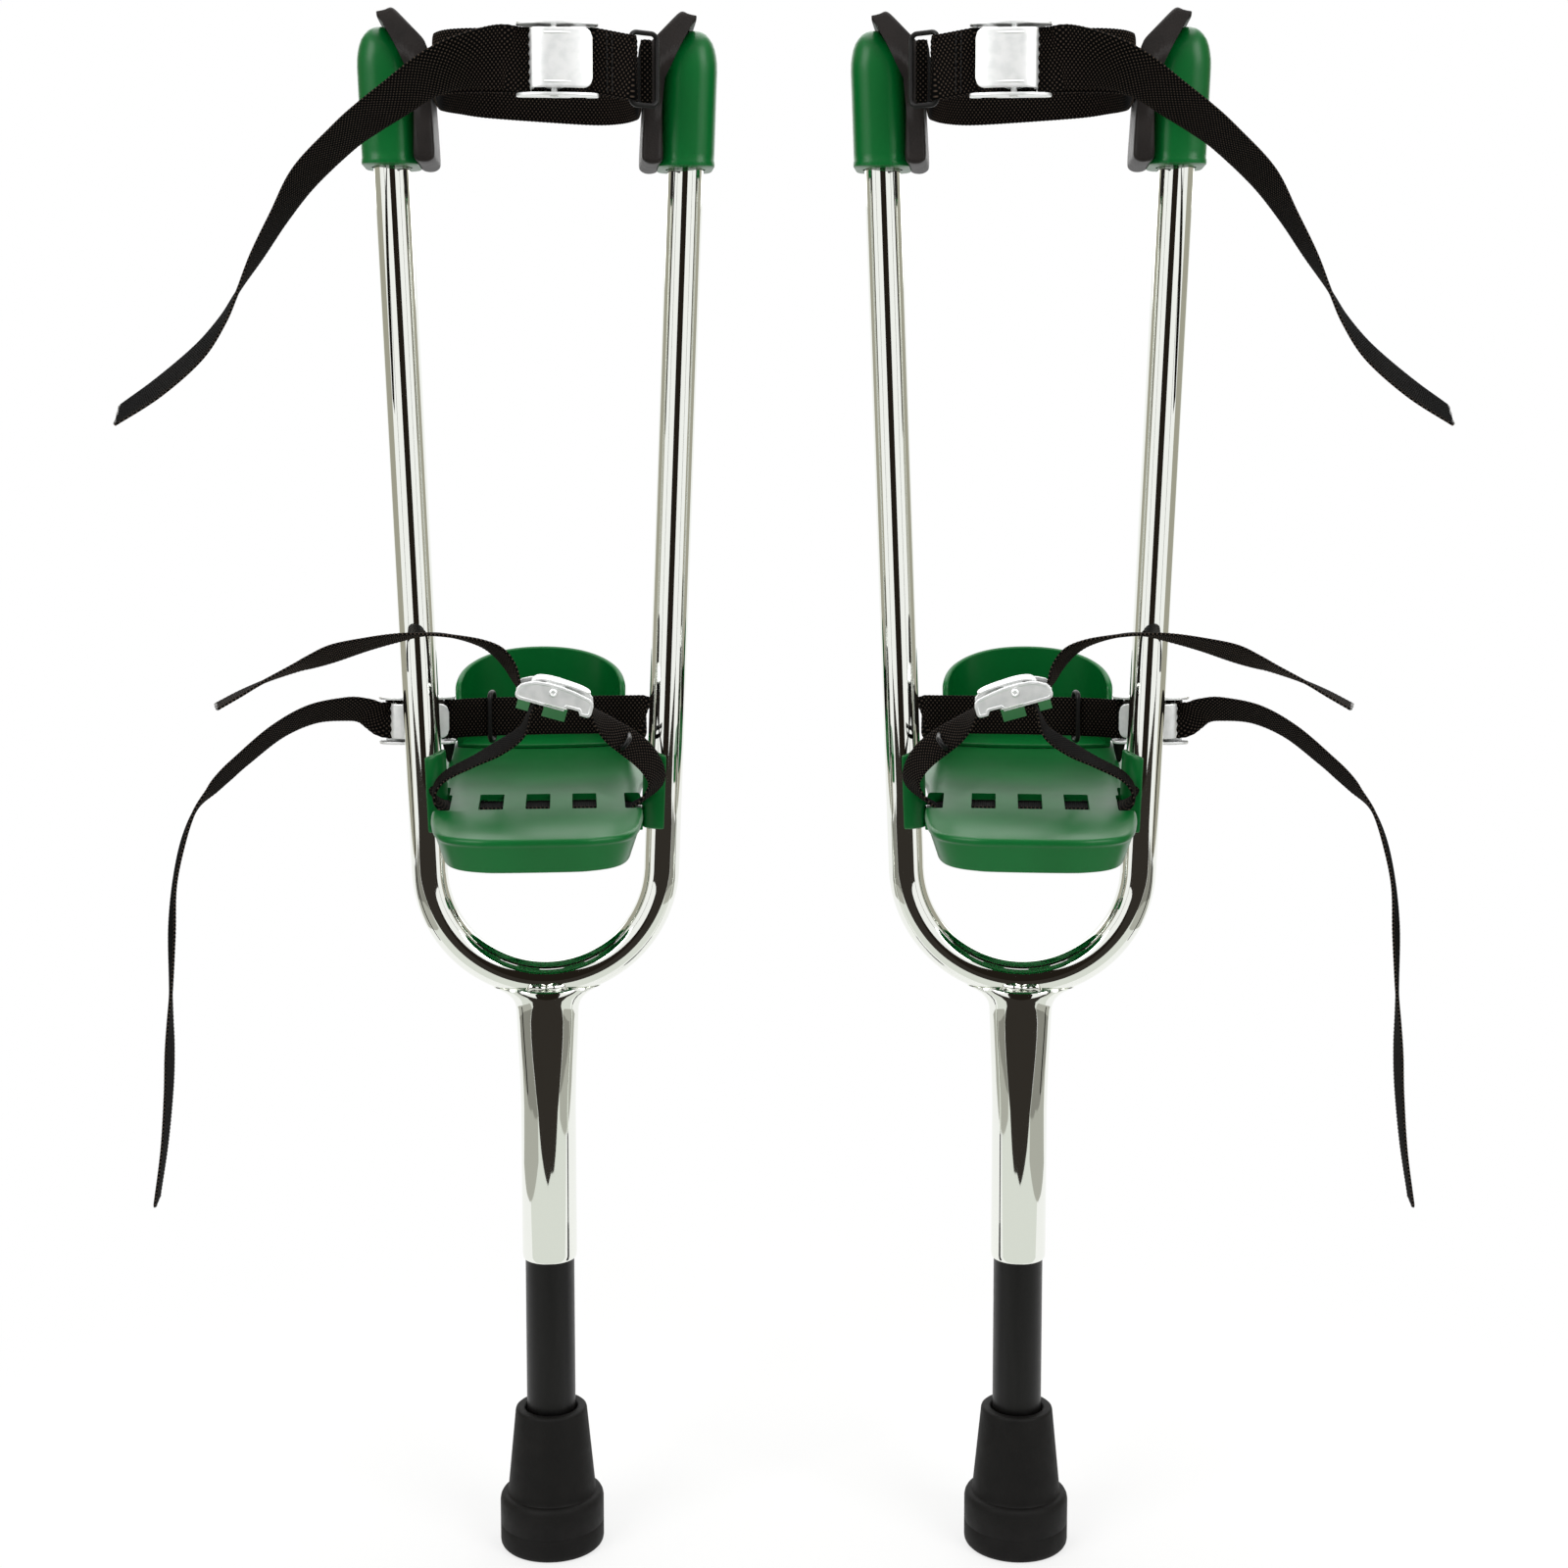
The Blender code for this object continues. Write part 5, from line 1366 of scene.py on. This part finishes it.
UPRIGHT = Matrix.Rotation(math.pi / 2, 4, "X")
CAM_SHEET = 0.0011
CAM_CORNER = 0.0042
CAM_COLUMNS = 48
EAR_RADIUS = 0.0036
EAR_HALF = 0.0006
TOOTH_DEPTH = 0.0022
TOOTH_RISE = 0.0018
TOOTH_START = 0.72
FLANGE_ROOM = 0.0007
FLANGE_TALL = 0.0115
FLANGE_EDGE = 0.0003


def rod(start, end, radius, sides=24):
    """A round bar between two points along Y."""
    middle = (Vector(start) + Vector(end)) / 2
    bm = bmesh.new()
    long = (Vector(end) - Vector(start)).length
    bmesh.ops.create_cone(bm, cap_ends=True, segments=sides, radius1=radius, radius2=radius, depth=long)
    return placed(bm, Matrix.Translation(middle) @ UPRIGHT)


class STILTS_OT_buckles(bpy.types.Operator):
    """Presses the buckle frames: two shaped flanges, a base, a strap bar and the riveted pin"""

    bl_idname = "stilts.buckles"
    bl_label = "Buckle frames"

    def execute(self, context):
        straps = settings()[1]
        end, tall, sheet = straps.buckle / 2, FLANGE_TALL, straps.sheet
        outline = [
            (-end, 0.0030), (-end + 0.0002, 0.0018), (-end + 0.0008, 0.0008), (-end + 0.0023, 0),
            (BASE_END - 0.0004, 0), (BASE_END, 0.0003), (BASE_END + 0.0010, 0.0020), (0.0126, 0.0020),
            (0.0130, 0.0016), (0.0140, 0), (end - 0.0018, 0), (end - 0.0006, 0.0005), (end, 0.0018),
            (end, 0.0058), (end - 0.0006, 0.0078), (end - 0.0026, 0.0092), (0.0085, 0.0108),
            (0.0030, 0.0114), (-0.0050, tall), (-0.0100, 0.0110), (-0.0140, 0.0097),
            (-end + 0.0016, 0.0078), (-end + 0.0004, 0.0060),
        ]
        for name, width, matrix in buckle_places():
            inside = width / 2 + FLANGE_ROOM
            made = bmesh.new()
            for low in (inside, -inside - sheet):
                flange = drawn(outline, -sheet / 2, sheet / 2, FLANGE_EDGE)
                # A pressed panel line follows the flange's edge on its outer face
                sides = sorted(flange.faces, key=lambda f: f.calc_area())[-2:]
                wall = min(sides, key=lambda f: f.calc_center_median().z * low)
                bmesh.ops.inset_region(flange, faces=[wall], thickness=0.0011, depth=0)
                bmesh.ops.inset_region(flange, faces=[wall], thickness=0.00025, depth=-0.00018)
                placed(flange, Matrix.Translation((0, low + sheet / 2, 0)) @ UPRIGHT)
                added(made, flange)
            reach = inside + 0.0006
            added(made, block((-end + 0.0032, -reach, 0.0001), (BASE_END - 0.0004, reach, sheet)))
            added(made, rod((BAR_ALONG, -reach, BAR_ABOVE), (BAR_ALONG, reach, BAR_ABOVE), BAR_RADIUS))
            out = inside + sheet
            added(made, rod((PIN_ALONG, -out, PIN_ABOVE), (PIN_ALONG, out, PIN_ABOVE), PIN_RADIUS))
            head = [(0, 0.0001), (0.0008, 0.0001), (0.0011, 0.0006), (0.0014, 0.0008), (0.0019, 0.0005)]
            head.append((0.0020, 0))
            for hand in (-1, 1):
                rivet = turned(head, 24)
                spot = Matrix.Translation((PIN_ALONG, hand * out, PIN_ABOVE))
                added(made, placed(rivet, spot @ Matrix.Rotation(-hand * math.pi / 2, 4, "X")))
            if name == "toe":
                # The base's front edge is folded down in two lips, leaning in below the flange
                lip = block((-0.0040, -0.0004, -0.0072), (0.0075, 0.0004, 0.0006))
                added(lip, block((-0.0172, -0.0004, -0.0066), (-0.0110, 0.0004, -0.0004)))
                lean = Matrix.Rotation(math.radians(LIP_LEAN), 4, "X")
                placed(lip, matrix @ Matrix.Translation((0, 0.0004 - out, 0.0010)) @ lean)
                both("toe_folded_lip", lip, chromium_plate())
            placed(made, matrix)
            both(f"{name}_pressed_buckle", made, zinc_plate(), [f"{name}_buckle_frame"])
        return {"FINISHED"}


class STILTS_OT_cams(bpy.types.Operator):
    """Presses the toothed cams that grip the webbing, each on its own pin"""

    bl_idname = "stilts.cams"
    bl_label = "Cams"

    def execute(self, context):
        straps = settings()[1]
        section = [
            (0.0178, 0.0034), (0.0140, 0.0043), (0.0080, 0.0049), (0.0000, 0.0051), (-0.0055, 0.0049),
            (-0.0090, 0.0040), (-0.0108, 0.0022), (-0.0114, -0.0004), (-0.0113, -0.0034),
        ]
        profile = smooth([(x, 0, z) for x, z in section], 5)
        last = len(profile) - 1
        for name, width, matrix in buckle_places():
            half = width / 2 - 0.0012
            rings = []
            for i, (spot, run) in enumerate(zip(profile, runs(profile))):
                out = Vector((run.z, 0, -run.x))
                if out.z <= 0 and not (i > last / 2 and out.x < 0):
                    out = -out
                inset = 0
                reach = profile[0].x - spot.x
                if reach < CAM_CORNER and i < last / 2:
                    inset = CAM_CORNER - math.sqrt(max(0, CAM_CORNER**2 - (CAM_CORNER - reach) ** 2))
                upper, lower = [], []
                for j in range(CAM_COLUMNS + 1):
                    share = 2 * j / CAM_COLUMNS - 1
                    y = share * (half - inset)
                    wave = abs((y / straps.tooth + 0.5) % 1 - 0.5) * 2
                    down = max(0, (i - TOOTH_START * last) / ((1 - TOOTH_START) * last))
                    bite = down * TOOTH_DEPTH * (1 - wave)
                    rise = TOOTH_RISE * (1 - wave) if i == last else 0
                    centre = spot + Vector((bite, y, rise))
                    upper.append(centre + out * (CAM_SHEET / 2 - (0.0002 if abs(share) > 0.97 else 0)))
                    lower.append(centre - out * CAM_SHEET / 2)
                rings.append([*upper, *reversed(lower)])
            made = lofted(rings)
            for hand in (-1, 1):
                # Pressed stiffening rib and the ear that turns on the pin
                side = hand * (half - 0.0026)
                ridge = [(x, side, 0.0052 - 9 * x * x) for x in (0.0085, 0.0060, 0.0020, -0.0020, -0.0045)]
                added(made, wire(smooth(ridge, 4), 0.00085, (0, 1, 0), 12))
                lug = [*arc((0, 0), EAR_RADIUS, 180, 360, 18), (0.0050, 0.0044), (-0.0050, 0.0044)]
                ear = drawn(lug, -EAR_HALF, EAR_HALF)
                added(made, placed(ear, Matrix.Translation((0, hand * (half - 0.0008), 0)) @ UPRIGHT))
            placed(made, matrix @ Matrix.Translation((PIN_ALONG, 0, PIN_ABOVE)))
            both(f"{name}_toothed_cam", made, zinc_plate(), [f"{name}_cam"], f"{name}_cam")
        return {"FINISHED"}


class STILTS_OT_rings(bpy.types.Operator):
    """Bends the black wire rings"""

    bl_idname = "stilts.rings"
    bl_label = "Rings"

    def execute(self, context):
        sizes, straps = settings()[:2]
        ankle, low = ANKLE_BUCKLE.y + 0.003, ANKLE_BUCKLE.z
        toe, top = TOE_BUCKLE.y, sizes.plate_top
        hung = KNEE_BUCKLE.z - RING_DROP
        tall_foot = straps.foot + 2 * straps.wire
        for name, one, two, tall in (
            ("knee", (*RING_FRONT, hung), (*RING_REAR, hung), (0, 0, straps.knee + 1.5 * straps.wire)),
            ("ankle", (-0.0284, ankle - 0.00275, low), (-0.0262, ankle + 0.0044, low), (0, 0, tall_foot)),
            ("toe", (0.0382, toe, top + 0.0271), (0.0418, toe, top + 0.0319), (0, tall_foot, 0)),
        ):
            one, two, up = Vector(one), Vector(two), Vector(tall) / 2
            flat, rise = (two - one).normalized(), up.normalized()
            corner = min(0.0032, 0.48 * (two - one).length)
            points = []
            for middle, a, b in (
                (one + up, -rise, flat), (two + up, -flat, -rise),
                (two - up, rise, -flat), (one - up, flat, rise),
            ):
                centre = middle + corner * (a + b)
                turns = [math.radians(15 * k) for k in range(7)]
                points += [centre - corner * (math.cos(t) * b + math.sin(t) * a) for t in turns]
            ring = wire(points, straps.wire / 2, flat.cross(rise), 14, True)
            both(f"{name}_wire_ring", ring, satin_paint(), [f"{name}_ring"])
        return {"FINISHED"}


# Stage


def shown(tree, bright, plain):
    """Mixes in a bright shader for what the camera, a mirror or glass sees."""
    path = node(tree, "ShaderNodeLightPath")
    seen = node(tree, "ShaderNodeMath", operation="MAXIMUM")
    tree.links.new(path.outputs["Is Camera Ray"], seen.inputs[0])
    tree.links.new(path.outputs["Is Glossy Ray"], seen.inputs[1])
    through = node(tree, "ShaderNodeMath", operation="MAXIMUM")
    tree.links.new(seen.outputs["Value"], through.inputs[0])
    tree.links.new(path.outputs["Is Transmission Ray"], through.inputs[1])
    mix = node(tree, "ShaderNodeMixShader", {"Fac": through.outputs["Value"]})
    tree.links.new(plain, mix.inputs[1])
    tree.links.new(bright, mix.inputs[2])
    return mix.outputs["Shader"]


def pair_of(name, tone, power, corners):
    """A card and its mirror image on the other side."""
    left = (f"left_{name}", tone, power, corners)
    return [left, (f"right_{name}", tone, power, [(-x, y, z) for x, y, z in reversed(corners)])]


def upright(left, right, y, low, high):
    """The corners of a card that stands across the view."""
    return [(left, y, low), (right, y, low), (right, y, high), (left, y, high)]


def lying(height, plan):
    """The corners of a card that lies at a height."""
    return [(x, y, height) for x, y in plan]


# Cards that only the polished pieces see: name, tone, brightness and corners
FLAG_PLAN = [(-0.12, -0.53), (-1.5, -0.91), (-1.5, -1.3), (1.2, -1.3), (1.2, -0.91)]
SIDE_PLAN = [
    (-0.62, -0.65), (-0.84, -0.37), (-0.93, 0), (-0.93, 0.3), (-1.66, 0.3), (-1.66, -0.88), (-1.5, -0.88),
]
NEAR_PLAN = [
    (-0.50, -0.50), (-0.56, -0.20), (-0.60, 0), (-0.62, 0.3), (-0.95, 0.3), (-0.95, 0), (-0.86, -0.37),
    (-0.64, -0.66),
]
FRONT_FLAG = [(-0.42, -1.30, 0.20), (0.42, -1.30, 0.20), (0.36, -1.30, 1.9), (-0.36, -1.30, 1.9)]
WALL = [(-1.7, -0.45, 0.01), (-1.7, 1.5, 0.01), (-1.7, 1.5, 2.2), (-1.7, -0.45, 2.2)]
GAP = [(-1.16, -1.02, 0.01), (-1.13, -1.05, 0.01), (-1.13, -1.05, 2.0), (-1.16, -1.02, 2.0)]
CARDS = [
    ("front_flag", "#221D18", 1, FRONT_FLAG),
    ("low_flag", "#332F2B", 1, upright(-1.5, 1.5, -1.30, 0.01, 0.20)),
    ("near_floor", "#E4E7E1", 1, lying(0.008, [(-1.5, -0.72), (1.5, -0.72), (1.5, -0.12), (-1.5, -0.12)])),
    ("back_sky", "#FFFFFF", 2.4, upright(-1.4, 1.4, 1.2, 0.78, 2.2)),
    *pair_of("floor_flag", "#332F2B", 1, lying(0.01, FLAG_PLAN)),
    *pair_of("side_floor", "#8E8D86", 1, lying(0.009, SIDE_PLAN)),
    *pair_of("side_floor_near", "#B4B4AC", 1, lying(0.0085, NEAR_PLAN)),
    *pair_of("wall", "#A9A698", 1, WALL),
    *pair_of("gap", "#2A241E", 1, GAP),
]


def white_surround(scene):
    """A white world that shows brighter than it lights."""
    world = bpy.data.worlds.new("white_surround")
    scene.world = world
    world.use_nodes = True
    tree = world.node_tree
    plain = tree.nodes["Background"]
    plain.inputs["Color"].default_value = (1, 1, 1, 1)
    plain.inputs["Strength"].default_value = 0.55
    bright = node(tree, "ShaderNodeBackground", {"Color": (1, 1, 1, 1), "Strength": 1.0})
    both_ways = shown(tree, bright.outputs["Background"], plain.outputs["Background"])
    tree.links.new(both_ways, tree.nodes["World Output"].inputs["Surface"])


def pale_floor():
    """A floor that takes soft shadows near the pair and fades to white around it."""
    bm = bmesh.new()
    bmesh.ops.create_grid(bm, x_segments=1, y_segments=1, size=6)
    floor = stood("floor", bm)
    floor.location.z = -0.0002
    made, tree, shader = finish("pale_floor", Roughness=0.8)
    shader.inputs["Base Color"].default_value = settings()[2].floor
    glow = node(tree, "ShaderNodeEmission", {"Color": (1, 1, 1, 1), "Strength": 1.0})
    place = node(tree, "ShaderNodeTexCoord").outputs["Object"]
    away = node(tree, "ShaderNodeVectorMath", {"Vector": place}, operation="LENGTH").outputs["Value"]
    reach = {"Value": away, "From Min": 0.25, "From Max": 0.55, "To Min": 0.72}
    fade = node(tree, "ShaderNodeMapRange", reach)
    soft = node(tree, "ShaderNodeMixShader", {"Fac": fade.outputs["Result"]})
    tree.links.new(shader.outputs["BSDF"], soft.inputs[1])
    tree.links.new(glow.outputs["Emission"], soft.inputs[2])
    both_ways = shown(tree, soft.outputs["Shader"], shader.outputs["BSDF"])
    tree.links.new(both_ways, tree.nodes["Material Output"].inputs["Surface"])
    floor.data.materials.append(made)


def soft_lamps(scene):
    """Two softboxes in front and one above."""
    for name, place, aim, size, power in (
        ("left_softbox", (-1.3, -1.5, 1.7), (0, 0, 0.45), 1.1, 22),
        ("right_softbox", (1.3, -1.5, 1.7), (0, 0, 0.45), 1.1, 22),
        ("top_softbox", (0, 0.4, 2.1), (0, 0, 0.4), 1.4, 16),
    ):
        lamp = bpy.data.lights.new(name, "AREA")
        lamp.shape = "SQUARE"
        lamp.size = size
        lamp.energy = power
        light = bpy.data.objects.new(name, lamp)
        light.location = place
        light.rotation_euler = (Vector(aim) - Vector(place)).to_track_quat("-Z", "Y").to_euler()
        scene.collection.objects.link(light)


def mirrored_cards():
    """Stands the cards that only reflections show."""
    for name, tone, power, corners in CARDS:
        bm = bmesh.new()
        bm.faces.new([bm.verts.new(c) for c in corners])
        card = stood(name, bm)
        cloth = bpy.data.materials.new(name)
        cloth.use_nodes = True
        tree = cloth.node_tree
        glow = node(tree, "ShaderNodeEmission", {"Color": linear(tone), "Strength": power})
        tree.links.new(glow.outputs["Emission"], tree.nodes["Material Output"].inputs["Surface"])
        card.data.materials.append(cloth)
        card.visible_camera = False
        card.visible_diffuse = False
        card.visible_shadow = False


class STILTS_OT_stage(bpy.types.Operator):
    """Lays the pale floor and sets the white surround, the soft lamps and the dark flags"""

    bl_idname = "stilts.stage"
    bl_label = "Stage"

    def execute(self, context):
        context.scene.view_settings.view_transform = "Standard"
        white_surround(context.scene)
        pale_floor()
        soft_lamps(context.scene)
        mirrored_cards()
        return {"FINISHED"}


STEPS = (
    STILTS_OT_camera,
    STILTS_OT_tails,
    STILTS_OT_straps,
    STILTS_OT_ferrules,
    STILTS_OT_pegs,
    STILTS_OT_stems,
    STILTS_OT_frames,
    STILTS_OT_plates,
    STILTS_OT_heels,
    STILTS_OT_brackets,
    STILTS_OT_caps,
    STILTS_OT_pads,
    STILTS_OT_buckles,
    STILTS_OT_cams,
    STILTS_OT_rings,
    STILTS_OT_stage,
)


class STILTS_PT_sidebar(bpy.types.Panel):
    """Lists the pieces, their sizes and their colours"""

    bl_idname = "STILTS_PT_sidebar"
    bl_label = "Peg stilts"
    bl_space_type = "VIEW_3D"
    bl_region_type = "UI"
    bl_category = "Peg stilts"

    def draw(self, context):
        for step in STEPS:
            self.layout.operator(step.bl_idname)
        for group in settings():
            column = self.layout.column(align=True)
            for name in group.__annotations__:
                column.prop(group, name)


GROUPS = {"stilt_sizes": StiltSizes, "stilt_straps": StrapSizes, "stilt_colours": StiltColours}


def register():
    for group in (*GROUPS.values(), *STEPS, STILTS_PT_sidebar):
        bpy.utils.register_class(group)
    for name, group in GROUPS.items():
        setattr(bpy.types.Scene, name, bpy.props.PointerProperty(type=group))


def unregister():
    for name in GROUPS:
        delattr(bpy.types.Scene, name)
    for group in (STILTS_PT_sidebar, *reversed(STEPS), *GROUPS.values()):
        bpy.utils.unregister_class(group)


def main():
    register()
    for step in STEPS:
        family, name = step.bl_idname.split(".")
        getattr(getattr(bpy.ops, family), name)()


if __name__ == "__main__":
    main()
